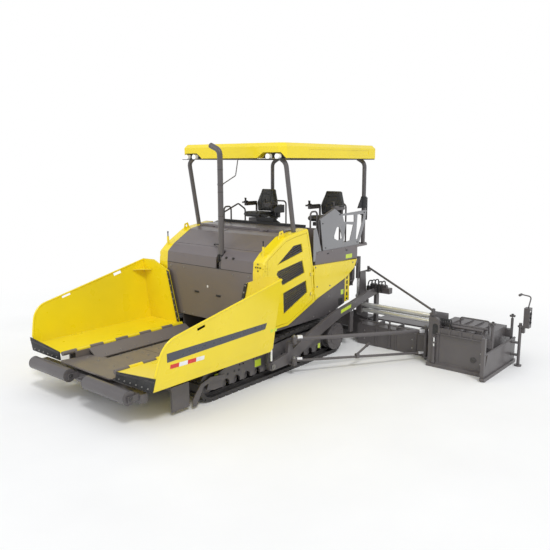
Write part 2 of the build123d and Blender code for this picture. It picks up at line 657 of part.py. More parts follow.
def hood_nose():
    """Fixed front cowl over the front wall, slotted around the exhaust pipe."""
    half = BODY_HALF_Y - ARCH_WIDTH - FIT
    outline = ARCH_TOP[:3] + [(HOOD_FRONT_X + 8, 2074), (HOOD_FRONT_X + 8, 2038), (725, 2022), (857, 1912),
                              (FRONT_WALL_X - SKIN, 1740)]
    shell = slab_xz(outline, -half, half)
    reach = EXHAUST_R + 14
    return shell - block(EXHAUST_X - reach, FRONT_WALL_X + 10, EXHAUST_Y - reach, EXHAUST_Y + reach, 1700, 2200)


def hood():
    """Engine hood lid with a pressed panel, hinged along its rear edge."""
    half = BODY_HALF_Y - ARCH_WIDTH - GAP
    outline = [(HOOD_FRONT_X, 2079), ARCH_TOP[3], ARCH_TOP[4], (HOOD_HINGE_X + 8, 2334), (HOOD_HINGE_X + 8, 2298),
               (320, 2255), (HOOD_FRONT_X, 2044)]
    lid = slab_xz(outline, -half, half)
    panel = [(150, 2318), (150, 2360), (325, 2360), (325, 2284)]
    lid = lid - slab_xz(panel, -220, 380)
    for side in (-1, 1):
        y0 = side * 500
        lid = lid + disc_y(HOOD_HINGE_X, HOOD_HINGE_Z, 14, y0, y0 + side * 80)
        lid = lid + block(HOOD_HINGE_X, HOOD_HINGE_X + 40, y0, y0 + side * 80, 2325, HOOD_HINGE_Z)
    return lid


def exhaust():
    """Upright exhaust pipe from the engine, with a bevelled tip and a stay to the canopy."""
    elbow_z = 1640
    bend_z = EXHAUST_TOP_Z - 110
    path = [(ENGINE_FRONT_X, EXHAUST_Y, elbow_z), (EXHAUST_X, EXHAUST_Y, elbow_z),
            (EXHAUST_X, EXHAUST_Y, bend_z), (EXHAUST_X, EXHAUST_Y - 160, bend_z + 130)]
    pipe = bent_tube(path, 70, EXHAUST_R)
    tip = Plane(origin=(EXHAUST_X, EXHAUST_Y - 160, bend_z + 130), z_dir=(0, -160, 130))
    pipe = pipe - tip * Cylinder(EXHAUST_R - 6, 120)
    pipe = pipe - block(EXHAUST_X - 100, EXHAUST_X + 100, EXHAUST_Y - 400, EXHAUST_Y - 118, bend_z, bend_z + 300)
    stay = rod((EXHAUST_X, EXHAUST_Y + EXHAUST_R - 4, 3010), (500, 330, 3200), 9)
    stay = stay + rod((500, 330, 3200), (330, 420, ROOF_UNDER_Z + 20), 9)
    above = block(0, 1000, 0, 1000, ROOF_UNDER_Z - FIT, 4000)
    return pipe + (stay - above)


def platform():
    """Front shelf, operator deck, side skirts and rear wall."""
    half = BODY_HALF_Y - ARCH_WIDTH - FIT
    shape = block(-560, HOOD_HINGE_X - 20, -half, half, 2331, PLATFORM_Z)
    shape = shape + block(-560, -540, -1220, 1220, DECK_Z, PLATFORM_Z)
    shape = shape + block(DECK_REAR_X, -540, -1229, 1229, DECK_Z - DECK_THICK, DECK_Z)
    for side in (-1, 1):
        inner = side * (BODY_HALF_Y - 70)
        outer = side * (BODY_HALF_Y - SKIN - FIT)
        shape = shape + block(BODY_REAR_X, -540, inner, outer, 1700, DECK_Z)
        y0 = side * (580 + FIT)
        shape = shape + disc_y(HOOD_HINGE_X, HOOD_HINGE_Z, 14, y0, y0 + side * 80)
        tab_x = HOOD_HINGE_X - 22
        shape = shape + block(tab_x, HOOD_HINGE_X, y0, y0 + side * 80, HOOD_HINGE_Z - 10, HOOD_HINGE_Z + 10)
    rear = BODY_REAR_X
    return shape + block(rear, rear + 30, -1229, 1229, 1540, DECK_Z)


def engine():
    """Engine as one plain block."""
    return block(-250, ENGINE_FRONT_X, -420, 420, TUNNEL_TOP_Z + PLATE, 1700)


def console():
    """Coaming along the front shelf, and the steering console with its wheel behind it."""
    coaming = block(-556, -490, -1000, 1000, PLATFORM_Z, PLATFORM_Z + 45)
    desk = slab_xz([(-740, DECK_Z), (-640, DECK_Z), (-600, 2420), (-600, 2500), (-800, 2400), (-790, 2360),
                    (-700, 2340)], -210, 210)
    wheel = Pos(-760, 0, 2470) * Rot(0, -27, 0) * Torus(120, 11)
    hub = rod((-730, 0, 2410), (-760, 0, 2470), 14)
    spoke = Pos(-760, 0, 2470) * Rot(0, -27, 0) * Box(20, 236, 10)
    return [coaming, desk + wheel + hub + spoke]


def canopy_roof():
    """Roof shell with chamfered edges, ribbed below, with lamp notches in its front."""
    top = ROOF_UNDER_Z + ROOF_THICK
    slab = block(ROOF_REAR_X, ROOF_FRONT_X, -ROOF_HALF_Y, ROOF_HALF_Y, ROOF_UNDER_Z, top)
    slab = chamfer(slab.edges().filter_by(Axis.Z), 110)
    slab = chamfer(slab.faces().sort_by(Axis.Z)[-1].edges(), 60)
    wall = 160
    for y0, y1 in ((-ROOF_HALF_Y + wall, -40), (40, ROOF_HALF_Y - wall)):
        slab = slab - block(ROOF_REAR_X + wall, ROOF_FRONT_X - wall, y0, y1, ROOF_UNDER_Z + 30, top - 40)
        low = ROOF_UNDER_Z - 1
        slab = slab - block(ROOF_REAR_X + 900, ROOF_FRONT_X - 900, y0 + 250, y1 - 250, low, low + 32)
    for side in (-1, 1):
        notch = [(660, ROOF_UNDER_Z - 1), (790, ROOF_UNDER_Z + NOTCH_HEIGHT), (1150, ROOF_UNDER_Z + NOTCH_HEIGHT),
                 (1210, ROOF_UNDER_Z - 1)]
        slab = slab - slab_yz([(side * y, z) for y, z in notch], ROOF_FRONT_X - NOTCH_DEPTH, ROOF_FRONT_X + 1)
        y = side * ROOF_HALF_Y
        low = ROOF_UNDER_Z + 60
        slab = slab - block(ROOF_REAR_X + 350, ROOF_FRONT_X - 700, y - 6, y + 6, low, low + 90)
    return slab


def lamps():
    """Four round work lamps in the notches of the roof's front."""
    pieces = []
    back = ROOF_FRONT_X - NOTCH_DEPTH + FIT
    for y in LAMP_Y:
        z = ROOF_UNDER_Z + NOTCH_HEIGHT / 2 - 18
        lamp = rod((back + 30, y, z), (ROOF_FRONT_X - 10, y, z), LAMP_R)
        lamp = lamp + rod((back, y, z + 20), (back + 31, y, z + 20), LAMP_R * 0.5)
        pieces.append(lamp)
        pieces.append(right_side(lamp))
    return pieces


def handrails():
    """Bent tube rails beside and behind the seats."""
    side_y = GUARD_Y - RAIL_R - FIT
    paths = [[(-700, side_y, DECK_Z), (-700, side_y, 2524), (-1141, side_y, 2684), (-1345, side_y, 2560),
              (-1345, side_y, DECK_Z)],
             [(-600, side_y - 120, DECK_Z), (-600, side_y - 120, 2650), (-800, side_y - 120, 2650),
              (-800, side_y - 120, DECK_Z)],
             [(REAR_RAIL_X, 565, DECK_Z), (REAR_RAIL_X, 565, 2720), (REAR_RAIL_X, 930, 2720), (REAR_RAIL_X, 930, DECK_Z)]]
    return [bent_tube(path, 70, RAIL_R) for path in paths]


def ladder():
    """Rear ladder up to the deck."""
    x = BODY_REAR_X - RAIL_R - FIT
    shape = None
    for y in (-200, 200):
        rail = rod((x, y, LADDER_LOW_Z), (x, y, DECK_Z - DECK_THICK - FIT), RAIL_R)
        shape = rail if shape is None else shape + rail
    for number in range(3):
        z = LADDER_LOW_Z + 30 + 240 * number
        shape = shape + block(x - 70, x + 10, -200, 200, z, z + 25)
    return shape


def canopy_posts():
    """Two leaning front posts and two upright rear posts, all bent inward at the top."""
    lean = FRONT_POST_LEAN / (3500 - PLATFORM_Z)
    foot = (-lean * 60, POST_Y, PLATFORM_Z - 60)
    knee = (lean * (3440 - PLATFORM_Z), POST_Y, 3440)
    top = (lean * (3620 - PLATFORM_Z), POST_Y - 120, 3620)
    front = bent_tube([foot, knee, top], 110, POST_R) - side_arch()
    rear = bent_tube([(REAR_POST_X, POST_Y, DECK_Z), (REAR_POST_X, POST_Y, 3440), (REAR_POST_X, POST_Y - 150, 3620)],
                     110, POST_R)
    pieces = []
    above = block(-3000, 1000, 0, 2000, ROOF_UNDER_Z - FIT, 4000)
    for post in (front, rear):
        post = (post - above).solids().sort_by(SortBy.VOLUME)[-1]
        pieces.append(post)
        pieces.append(right_side(post))
    return pieces


def seat():
    """Plain seat solid, left: cushion and high back in one."""
    profile = [(-1640, 2400), (-1230, 2400), (-1200, 2500), (-1560, 2520), (-1650, 3040), (-1740, 3030),
               (-1700, 2500)]
    return slab_xz(profile, SEAT_Y - 240, SEAT_Y + 240)


def seat_pedestal():
    """Left seat pedestal with its slide, backrest hinge plates and armrests."""
    shape = block(-1520, -1330, SEAT_Y - 130, SEAT_Y + 130, DECK_Z, 2330)
    shape = shape + block(-1610, -1260, SEAT_Y - 190, SEAT_Y + 190, 2330, 2400 - FIT)
    for side in (-1, 1):
        y0 = SEAT_Y + side * (240 + GAP)
        y1 = y0 + side * 60
        shape = shape + block(-1600, -1540, SEAT_Y, y1, 2370, 2399)
        shape = shape + block(-1600, -1560, y0, y0 + side * 20, 2380, 2660)
        shape = shape + block(-1600, -1260, y0, y1, 2640, 2690)
        shape = shape + block(-1330, -1230, y0, y1 + side * 40, 2690, 2720)
        shape = shape + rod((-1270, y0 + side * 40, 2715), (-1255, y0 + side * 40, 2800), 12)
    return shape


# Openings of the guard plate, in X and Z
GUARD_HOLES = [[(-1400, 2540), (-1782, 2535), (-1789, 2400), (-1445, 2425)],
               [(-1110, 2150), (-1204, 2335), (-1271, 2355), (-1367, 2218), (-1394, 2124), (-1256, 2092)],
               [(-1502, 2377), (-1765, 2345), (-1656, 2060), (-1430, 2029)],
               [(-1900, 2530), (-2120, 2530), (-2090, 2400), (-1925, 2060), (-1860, 2060)]]


def side_guard():
    """Guard plate along the left side of the deck, with its look-through openings."""
    outline = [(-781, DECK_Z), (-689, 2519), (-1140, 2682), (-1344, 2572), (-2222, 2605), (-2183, 2399),
               (-1963, DECK_Z)]
    plate = slab_xz(outline, GUARD_Y, GUARD_Y + GUARD_THICK)
    for hole in GUARD_HOLES:
        plate = plate - slab_xz(hole, GUARD_Y - 1, GUARD_Y + GUARD_THICK + 1)
    return plate


def levelling_cylinder():
    """Left levelling cylinder over the tow point, with its guide plate and tow pin."""
    y = ARM_Y + ARM_THICK / 2
    shape = rod((TOW_X, y, 560), (TOW_X, y, 860), 45)
    shape = shape + rod((TOW_X, y, TOW_Z + TOW_BOSS_R + 3 * GAP), (TOW_X, y, 560), 20)
    shape = shape + block(TOW_X - 40, TOW_X + 40, BODY_HALF_Y, y, 800, 850)
    guide_y = ARM_Y - GAP - 40
    shape = shape + block(TOW_X - 40, TOW_X + 40, guide_y, guide_y + 40, 190, 850)
    return shape + disc_y(TOW_X, TOW_Z, TOW_PIN_R, guide_y, ARM_Y + ARM_THICK + 20)


def lift_cylinder():
    """Left screed lift cylinder barrel on the tractor's rear."""
    shape = rod((LIFT_X, LIFT_Y, 1258), (LIFT_X, LIFT_Y, 1690), 45)
    shape = shape + block(LIFT_X, BODY_REAR_X, LIFT_Y - 20, LIFT_Y + 20, 1560, 1660)
    return shape - rod((LIFT_X, LIFT_Y, 1200), (LIFT_X, LIFT_Y, 1640), LIFT_ROD_R + FIT)


def lift_rod():
    """Left screed lift rod with its eye and pin."""
    shape = rod((LIFT_X, LIFT_Y, LIFT_EYE_Z), (LIFT_X, LIFT_Y, 1290), LIFT_ROD_R)
    shape = shape + disc_y(LIFT_X, LIFT_EYE_Z, 40, LIFT_Y - 25, LIFT_Y + 25)
    return shape + disc_y(LIFT_X, LIFT_EYE_Z, 18, LIFT_Y, TOWER_Y - FIT)


def track_guard():
    """Left deflector block ahead of the track."""
    plate = block(2540, 2860, TRACK_OUTER_Y - 40, TRACK_OUTER_Y - 10, 60, 430)
    return plate + block(2680, 2740, CHASSIS_HALF_Y, TRACK_OUTER_Y - 40, 300, 380)


# Front end
def push_beam():
    """Cross beam with roller brackets, free to swing about its middle pin."""
    beam = block(3260, 3375, -1250, 1250, PUSH_BEAM_LOW, PUSH_BEAM_TOP)
    beam = beam + rod((PUSH_PIVOT_X, 0, PUSH_BEAM_LOW), (PUSH_PIVOT_X, 0, PUSH_BEAM_TOP), 60)
    beam = beam + block(PUSH_PIVOT_X, 3270, -60, 60, PUSH_BEAM_LOW, PUSH_BEAM_TOP)
    for side in (-1, 1):
        for y in (PUSH_INNER_Y - FIT - 30, PUSH_OUTER_Y + FIT):
            beam = beam + block(3370, PUSH_X + 40, side * y, side * (y + 30), 395, 480)
    hook = block(3370, 3490, -70, 70, 395, 425) - rod((TOW_EYE_X, 0, 380), (TOW_EYE_X, 0, 440), TOW_EYE_R)
    return beam + hook - rod((PUSH_PIVOT_X, 0, 300), (PUSH_PIVOT_X, 0, 500), PUSH_PIN_R + FIT)


def push_roller():
    """Left push roller."""
    return disc_y(PUSH_X, PUSH_Z, PUSH_R, PUSH_INNER_Y, PUSH_OUTER_Y)


# Augers
def flight(y0, y1):
    """Screw flight about the auger's axis, in flat steps of a sixteenth of a turn."""
    def corners(step):
        angle = 2 * math.pi * step / FLIGHT_STEPS
        y = y0 + AUGER_PITCH * step / FLIGHT_STEPS
        return [(AUGER_X + r * math.cos(angle), y + side, AUGER_Z - r * math.sin(angle))
                for r, side in ((AUGER_SHAFT_R - 10, 0), (AUGER_R, 0), (AUGER_R, FLIGHT_THICK),
                                (AUGER_SHAFT_R - 10, FLIGHT_THICK))]

    steps = int((y1 - FLIGHT_THICK - y0) / AUGER_PITCH * FLIGHT_STEPS)
    faces = [Face(Wire.make_polygon(corners(step))) for step in (0, steps)]
    for step in range(steps):
        here = corners(step)
        there = corners(step + 1)
        for k in range(4):
            after = (k + 1) % 4
            faces.append(Face(Wire.make_polygon([here[k], here[after], there[after]])))
            faces.append(Face(Wire.make_polygon([here[k], there[after], there[k]])))
    return Solid(Shell(faces))


def auger():
    """Left auger: shaft with its screw flight."""
    shaft = disc_y(AUGER_X, AUGER_Z, AUGER_SHAFT_R, AUGER_CASE_Y + FIT, AUGER_HANGER_Y - FIT)
    return shaft + flight(AUGER_CASE_Y + 30, AUGER_HANGER_Y - 30)


def auger_frame():
    """Beam over the augers with its middle gear case, end hangers and guide shoes."""
    shape = block(AUGER_X - 60, AUGER_X + 60, -AUGER_HANGER_Y - 40, AUGER_HANGER_Y + 40, 590, 690)
    shape = shape + block(AUGER_X - 50, AUGER_X + 50, -AUGER_CASE_Y, AUGER_CASE_Y, 290, 600)
    for side in (-1, 1):
        y = side * AUGER_HANGER_Y
        guide_y = side * (CHASSIS_HALF_Y - 20)
        shape = shape + block(AUGER_X - 50, AUGER_X + 50, y, y + side * 40, 290, 600)
        shape = shape + block(AUGER_X + 60, CHASSIS_REAR_X - 60 - FIT, guide_y - side * 50, guide_y, 600, 680)
    return shape


# Tow arms and screed
# Side outline of the tow arm, in X and Z
ARM = [(TOW_X, 180), (TOW_X, 320), (800, 330), (470, 385), (440, BRACE_SHELF_Z), (360, BRACE_SHELF_Z), (330, 425),
       (-100, 590), (-850, 825), (-1450, 925), (-2040, 1040), (-2400, 1060), (-2440, 1000), (-2440, 300),
       (-2340, 300), (-2340, 940), (-2060, 900), (-1500, 775), (-1120, 710), (-390, 485), (0, 340), (190, 262),
       (430, 190)]


def tow_arm():
    """Left tow arm, cranked up from the tow point and down to the main screed."""
    y1 = ARM_Y + ARM_THICK
    arm = slab_xz(ARM, ARM_Y, y1) + disc_y(TOW_X, TOW_Z, TOW_BOSS_R, ARM_Y, y1)
    arm = arm + block(360, 440, y1, y1 + 110, BRACE_SHELF_Z - 30, BRACE_SHELF_Z)
    arm = arm + block(360, 440, y1, y1 + 110, BRACE_LOW_Z - 30, BRACE_LOW_Z)
    arm = arm + block(-2440, -2340, SCREED_HALF_Y, ARM_Y, 300, 400)
    return arm - disc_y(TOW_X, TOW_Z, TOW_PIN_R + FIT, ARM_Y - 10, y1 + 10)


# Guide tubes of each extension, in X and Z
GUIDES = [(-2050, 770), (-2080, 650), (-2215, 700)]


def screed_main():
    """Main screed box with its walkway, towers and guide bearings."""
    front = SCREED_FRONT_X
    rear = front - SCREED_DEPTH
    half = SCREED_HALF_Y
    shape = hollow_box(rear, front, -half, half, 0, SCREED_HEIGHT, PLATE)
    shape = shape + block(X_REAR + 50, rear, -half, half, WALKWAY_Z - 40, WALKWAY_Z - 15)
    tower = [(-2300, 420), (-2290, 440), (-1990, 560), (-1990, 840), (LIFT_X + 50, 940), (LIFT_X + 30, TOWER_TOP_Z),
             (-2280, TOWER_TOP_Z), (-2330, 900), (-2420, 420)]
    tower_solid = slab_xz(tower, TOWER_Y, TOWER_Y + PLATE)
    tower_solid = tower_solid + block(-2270, -1990, TOWER_Y, SCREED_HALF_Y + 40, 590, 830)
    tower_solid = tower_solid + block(STAY_EYE_X - 50, STAY_EYE_X + 40, TOWER_Y, STAY_EYE_Y + 30, TOWER_TOP_Z - 30,
                                      TOWER_TOP_Z)
    for x in (-2300, -2410):
        rib = block(x, x + 14, TOWER_Y - 260, TOWER_Y + 5, SCREED_HEIGHT - 10, SCREED_HEIGHT + 130)
        tower_solid = tower_solid + rib
    for x, z in GUIDES:
        tower_solid = tower_solid - disc_y(x, z, GUIDE_R + FIT, TOWER_Y - 10, SCREED_HALF_Y + 50)
    return shape + tower_solid + right_side(tower_solid)


def guide_tubes():
    """Left telescopic guide tubes."""
    return [disc_y(x, z, GUIDE_R, TOWER_Y + PLATE + 12, STEP_Y) for x, z in GUIDES]


def extension():
    """Left extension: inner box, stepped outer box, bulkhead, brace lugs, ribs and walkway."""
    front = OUTER_EXT_FRONT_X
    shape = hollow_box(EXT_INNER_REAR_X, EXT_FRONT_X, EXT_INNER_Y, STEP_Y, 0, 400, PLATE)
    shape = shape + hollow_box(EXT_REAR_X, front, STEP_Y, EXT_END_Y, 0, EXT_HEIGHT, PLATE)
    shape = shape + block(front - PLATE, front, STEP_Y, EXT_END_Y, EXT_HEIGHT - 5, EXT_HEIGHT + 40)
    bulkhead = [(EXT_INNER_REAR_X, 380), (front, 380), (front, BULKHEAD_TOP_Z - 60), (front - 60, BULKHEAD_TOP_Z),
                (front - 200, BULKHEAD_TOP_Z), (EXT_INNER_REAR_X, 800)]
    shape = shape + slab_xz(bulkhead, STEP_Y, STEP_Y + 35)
    low = BULKHEAD_TOP_Z - 30
    shape = shape + block(STAY_PIVOT_X - 40, STAY_PIVOT_X + 40, STEP_Y, STEP_Y + 90, low, BULKHEAD_TOP_Z)
    lip = [(front - 5, 90), (front + 55, 60), (front + 55, 0), (front - 5, 0)]
    shape = shape + slab_xz(lip, STEP_Y, EXT_END_Y)
    step = (EXT_END_Y - STEP_Y) / 5
    for number in range(1, 5):
        y = STEP_Y + number * step
        shape = shape + block(front - 1, front + 14, y - 22, y + 22, EXT_HEIGHT - 60, EXT_HEIGHT + 40)
        shape = shape + slab_xz([(front - 30, EXT_HEIGHT), (front - 30, EXT_HEIGHT + 38), (-2500, EXT_HEIGHT + 25),
                                 (-2600, EXT_HEIGHT)], y - 6, y + 6)
    for x, z in ((front - 130, EXT_HEIGHT + 75), (front - 330, EXT_HEIGHT + 60)):
        shape = shape + disc_y(x, z, 26, STEP_Y + 20, EXT_END_Y - 60)
        for y in (STEP_Y + 330, EXT_END_Y - 140):
            shape = shape + block(x - 25, x + 25, y, y + 40, EXT_HEIGHT - 5, z)
    for number in range(1, 4):
        y = EXT_INNER_Y + number * (STEP_Y - EXT_INNER_Y) / 4
        shape = shape + block(EXT_FRONT_X - 1, EXT_FRONT_X + 16, y - 14, y + 14, 20, 400)
        shape = shape + block(EXT_INNER_REAR_X + 20, EXT_FRONT_X - 20, y - 6, y + 6, 399, 470)
    lug_y = BRACE_PIVOT_Y - 40
    for z in (BRACE_POST_LOW - 30, BRACE_POST_TOP):
        shape = shape + block(BRACE_PIVOT_X - 50, BRACE_PIVOT_X + 50, lug_y, STEP_Y, z, z + 30 - FIT)
    shape = shape + rod((BRACE_PIVOT_X, BRACE_PIVOT_Y, BRACE_POST_LOW - 30),
                        (BRACE_PIVOT_X, BRACE_PIVOT_Y, BRACE_POST_TOP + 20), BRACE_PIN_R)
    shape = shape + rod((STAY_PIVOT_X, STAY_PIVOT_Y, BULKHEAD_TOP_Z - 20),
                        (STAY_PIVOT_X, STAY_PIVOT_Y, STAY_LOW_Z + 45), BRACE_PIN_R)
    return shape + block(X_REAR, EXT_REAR_X, EXT_INNER_Y, EXT_END_Y, WALKWAY_Z, WALKWAY_Z + 30)


def end_plate():
    """End gate of the left extension: plate, post, skid, top rail and two jack screws."""
    inner = END_PLATE_Y - END_PLATE_THICK
    rear = END_PLATE_REAR_X
    front = END_PLATE_FRONT_X
    gate = slab_xz([(rear, 30), (front - 40, 30), (front - 40, 160), (front - 150, GATE_TOP_Z), (rear, GATE_TOP_Z)],
                   inner, END_PLATE_Y)
    gate = gate + slab_xz([(rear, 0), (front, 0), (front + 30, 25), (front + 30, 60), (rear, 60)],
                          inner - 25, END_PLATE_Y + 25)
    gate = gate + block(front - 60, front, inner - 30, END_PLATE_Y, 50, 720)
    gate = gate + rod((front - 30, END_PLATE_Y - 15, GATE_TOP_Z), (rear, END_PLATE_Y - 15, GATE_TOP_Z), 20)
    y = inner - 12
    for x, top in JACKS:
        gate = gate + rod((x, y, 300), (x, y, top - 60), 24)
        gate = gate + rod((x, y, top - 70), (x, y, top), 10)
        gate = gate + rod((x, y, top - 30), (x, y, top - 5), 45)
        gate = gate + block(x - 40, x + 40, y, inner + 1, 320, 400)
        gate = gate + block(x - 45, x + 45, EXT_END_Y + FIT, y, 470, 610)
    post_y = END_PLATE_Y + 140
    gate = gate + rod((GATE_POST_X, post_y, 15), (GATE_POST_X, post_y, 770), 26)
    gate = gate + rod((GATE_POST_X, post_y, 0), (GATE_POST_X, post_y, 25), 60)
    gate = gate + rod((GATE_POST_X, post_y, 700), (GATE_POST_X, post_y, 725), 45)
    for z in (180, 400):
        gate = gate + block(GATE_POST_X - 30, GATE_POST_X + 30, END_PLATE_Y - 1, post_y, z, z + 30)
    return gate


def control_box():
    """Outboard control box of the left extension on its bracket, with a hooked lamp arm."""
    near = END_PLATE_Y + 190
    x = GATE_POST_X - 30
    box = block(x - 60, x + 60, near, near + 100, 700, 1050)
    box = box - block(x - 45, x + 45, near + 85, near + 101, 760, 1010)
    box = box + block(x - 20, GATE_POST_X + 15, END_PLATE_Y + 166 + FIT, near + 20, 600, 690)
    box = box + block(x - 20, x + 20, near, near + 20, 600, 701)
    arm = bent_tube([(x, near + 50, 1040), (x, near + 90, 1250), (x, near - 90, 1270)], 40, 11)
    return box + arm + rod((x - 30, near - 90, 1262), (x + 60, near - 90, 1262), 22)


def stay():
    """Left upper stay tube from the bulkhead to the tower."""
    pivot = (STAY_PIVOT_X, STAY_PIVOT_Y)
    shape = rod((*pivot, BULKHEAD_TOP_Z + FIT), (*pivot, STAY_LOW_Z + 35), 34)
    shape = shape + rod((STAY_EYE_X, STAY_EYE_Y, TOWER_TOP_Z + FIT), (STAY_EYE_X, STAY_EYE_Y, STAY_TOP_Z + 25), 25)
    shape = shape + rod((STAY_PIVOT_X, STAY_PIVOT_Y, STAY_LOW_Z), (STAY_EYE_X, STAY_EYE_Y, STAY_TOP_Z), STAY_R)
    bore = rod((STAY_PIVOT_X, STAY_PIVOT_Y, 800), (STAY_PIVOT_X, STAY_PIVOT_Y, 1100), BRACE_PIN_R + FIT)
    return shape - bore


def brace():
    """Left pair of stay tubes from the tow arm to the extension."""
    front_y = ARM_Y + ARM_THICK + 80
    pivot = (BRACE_PIVOT_X, BRACE_PIVOT_Y)
    shape = rod((*pivot, BRACE_POST_LOW + FIT), (*pivot, BRACE_POST_TOP - FIT), 40)
    for radius, front_z, rear_z in ((32, BRACE_SHELF_Z + FIT, BRACE_POST_TOP - 60), (22, BRACE_LOW_Z + FIT, 130)):
        eye_z = front_z + 52
        shape = shape + rod((BRACE_FRONT_X, front_y, front_z), (BRACE_FRONT_X, front_y, front_z + 90), 45)
        shape = shape + rod((BRACE_FRONT_X, front_y, eye_z), (BRACE_PIVOT_X, BRACE_PIVOT_Y, rear_z), radius)
    return shape - rod((BRACE_PIVOT_X, BRACE_PIVOT_Y, 0), (BRACE_PIVOT_X, BRACE_PIVOT_Y, 900), BRACE_PIN_R + FIT)


def both(piece):
    """A left piece and its mirror image."""
    return [piece, right_side(piece)]


def main():
    os.makedirs("parts", exist_ok=True)
    save("chassis", [chassis()])
    save("body_frame", [body_frame()])
    save("conveyor", [conveyor()])
    save("hopper_floor", hopper_floor())
    save("front_apron", [front_apron()])
    save("front_wall", [front_wall()])
    save("engine_block", [engine()])
    save("hood_nose", [hood_nose()])
    save("hood", [hood()])
    save("exhaust_stack", [exhaust()])
    save("platform", [platform()])
    save("console", console())
    save("lamps", lamps())
    save("handrails", [place for rail in handrails() for place in both(rail)] + [ladder()])
    save("canopy_roof", [canopy_roof()])
    save("canopy_posts", canopy_posts())
    save("side_arches", both(side_arch()))
    save("side_panels", both(side_panel()))
    save("lower_panels", both(lower_panel()))
    save("side_guards", both(side_guard()))
    save("seat_pedestals", both(seat_pedestal()))
    save("levelling_cylinders", both(levelling_cylinder()))
    save("lift_cylinders", both(lift_cylinder()))
    save("track_guards", both(track_guard()))
    save("track_frames", both(track_frame()))
    save("track_wheels", [place for wheel in track_wheels() for place in both(wheel)])
    save("push_beam", [push_beam()])
    save("auger_frame", [auger_frame()])
    save("tow_arms", both(tow_arm()))
    save("screed_main", [screed_main()])
    save("hopper_wing_left", [wing(LEFT_SLOTS)])
    save("hopper_wing_right", [right_side(wing(RIGHT_SLOTS))])
    paired = {"track": [track()], "wing_flap": wing_flap(), "side_door": [side_door()],
              "door_grilles": door_grilles(), "seat": [seat()], "push_roller": [push_roller()], "auger": [auger()],
              "lift_rod": [lift_rod()], "guide_tubes": guide_tubes(), "extension": [extension()],
              "end_plate": [end_plate()], "brace": [brace()], "control_box": [control_box()], "stay": [stay()]}
    for name, pieces in paired.items():
        save(f"{name}_left", pieces)
        save(f"{name}_right", [right_side(piece) for piece in pieces])


main()
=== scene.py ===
import bpy
import bmesh
import json
import math
from mathutils import Matrix, Vector


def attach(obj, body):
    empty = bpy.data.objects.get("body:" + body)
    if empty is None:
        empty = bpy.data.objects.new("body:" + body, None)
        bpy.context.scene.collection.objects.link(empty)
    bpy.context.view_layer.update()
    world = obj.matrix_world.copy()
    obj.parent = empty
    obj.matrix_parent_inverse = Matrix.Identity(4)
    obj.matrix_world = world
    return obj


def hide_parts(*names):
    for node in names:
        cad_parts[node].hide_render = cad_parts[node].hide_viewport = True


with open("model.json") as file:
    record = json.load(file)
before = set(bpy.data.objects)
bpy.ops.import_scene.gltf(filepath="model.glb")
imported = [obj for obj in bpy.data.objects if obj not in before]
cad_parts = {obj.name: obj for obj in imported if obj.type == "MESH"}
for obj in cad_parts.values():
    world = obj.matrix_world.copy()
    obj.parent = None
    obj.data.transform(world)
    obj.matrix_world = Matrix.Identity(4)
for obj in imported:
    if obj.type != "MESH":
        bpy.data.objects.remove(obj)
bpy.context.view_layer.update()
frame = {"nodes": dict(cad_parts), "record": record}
nodes = frame["nodes"]

# Places are in metres, with X counted from the front canopy posts. SHIFT moves every piece at the end
SHIFT = -0.2885
SIDES = (("left", 1), ("right", -1))
TURN = 2 * math.pi
AHEAD, BACK, OUT, UP, DOWN = (1, 0, 0), (-1, 0, 0), (0, 1, 0), (0, 0, 1), (0, 0, -1)

# Faces that details stand on
FRONT_WALL_X = 0.9053
REAR_WALL_X = -1.9003
SKIRT_Y = 1.2297
PANEL_Y = 1.26
GUARD_PLATE_Y = 1.218
TRACK_GUARD_Y = 1.248
DECK_Z = 1.9502
ROOF_Z = 3.5798

# Camera solved from the photograph
CAMERA_AT = (7.9745, 7.686, 3.497)
PITCH, YAW, ROLL = math.radians(10.209), math.radians(220.0), math.radians(0.065)
LENS_MM, SENSOR_MM, LENS_RISE = 40.89, 36.0, 0.00125
CLIP_END = 200


def add_object(name, data):
    obj = bpy.data.objects.new(name, data)
    bpy.context.scene.collection.objects.link(obj)
    return obj


def camera():
    ahead = Vector((math.cos(PITCH) * math.cos(YAW), math.cos(PITCH) * math.sin(YAW), -math.sin(PITCH)))
    side = ahead.cross(Vector(UP)).normalized()
    up = side.cross(ahead)
    turn = Matrix.Rotation(ROLL, 3, ahead)
    side, up = turn @ side, turn @ up
    data = bpy.data.cameras.new("camera")
    data.lens, data.sensor_width, data.shift_y = LENS_MM, SENSOR_MM, LENS_RISE
    data.clip_end = CLIP_END
    obj = add_object("camera", data)
    obj.matrix_world = Matrix.Translation(CAMERA_AT) @ Matrix((side, up, -ahead)).transposed().to_4x4()
    bpy.context.scene.camera = obj


# Materials
NOISE_LOW, NOISE_HIGH = 0.3, 0.7  # most of a noise texture's values lie between these
EDGE_WIDTH = 0.006
ROAD_DUST = (0.2, 0.185, 0.17)
RUST = (0.16, 0.11, 0.075)
RUBBED_STEEL = (0.42, 0.41, 0.4)


class Tree:
    """The node tree of a material or of the world, built a node at a time."""

    def __init__(self, owner):
        owner.use_nodes = True
        self.tree = owner.node_tree
        self.tree.nodes.clear()

    def add(self, kind, values=None, **settings):
        """A new node with its settings; values holds what goes into its sockets."""
        node = self.tree.nodes.new(kind)
        for key, value in settings.items():
            setattr(node, key, value)
        for socket, value in (values or {}).items():
            self.fill(node.inputs[socket], value)
        return node

    def fill(self, socket, value):
        """Links a socket to another node's output, or sets it to a constant."""
        if isinstance(value, bpy.types.NodeSocket):
            self.tree.links.new(value, socket)
        else:
            socket.default_value = (*value, 1) if socket.type == "RGBA" else value


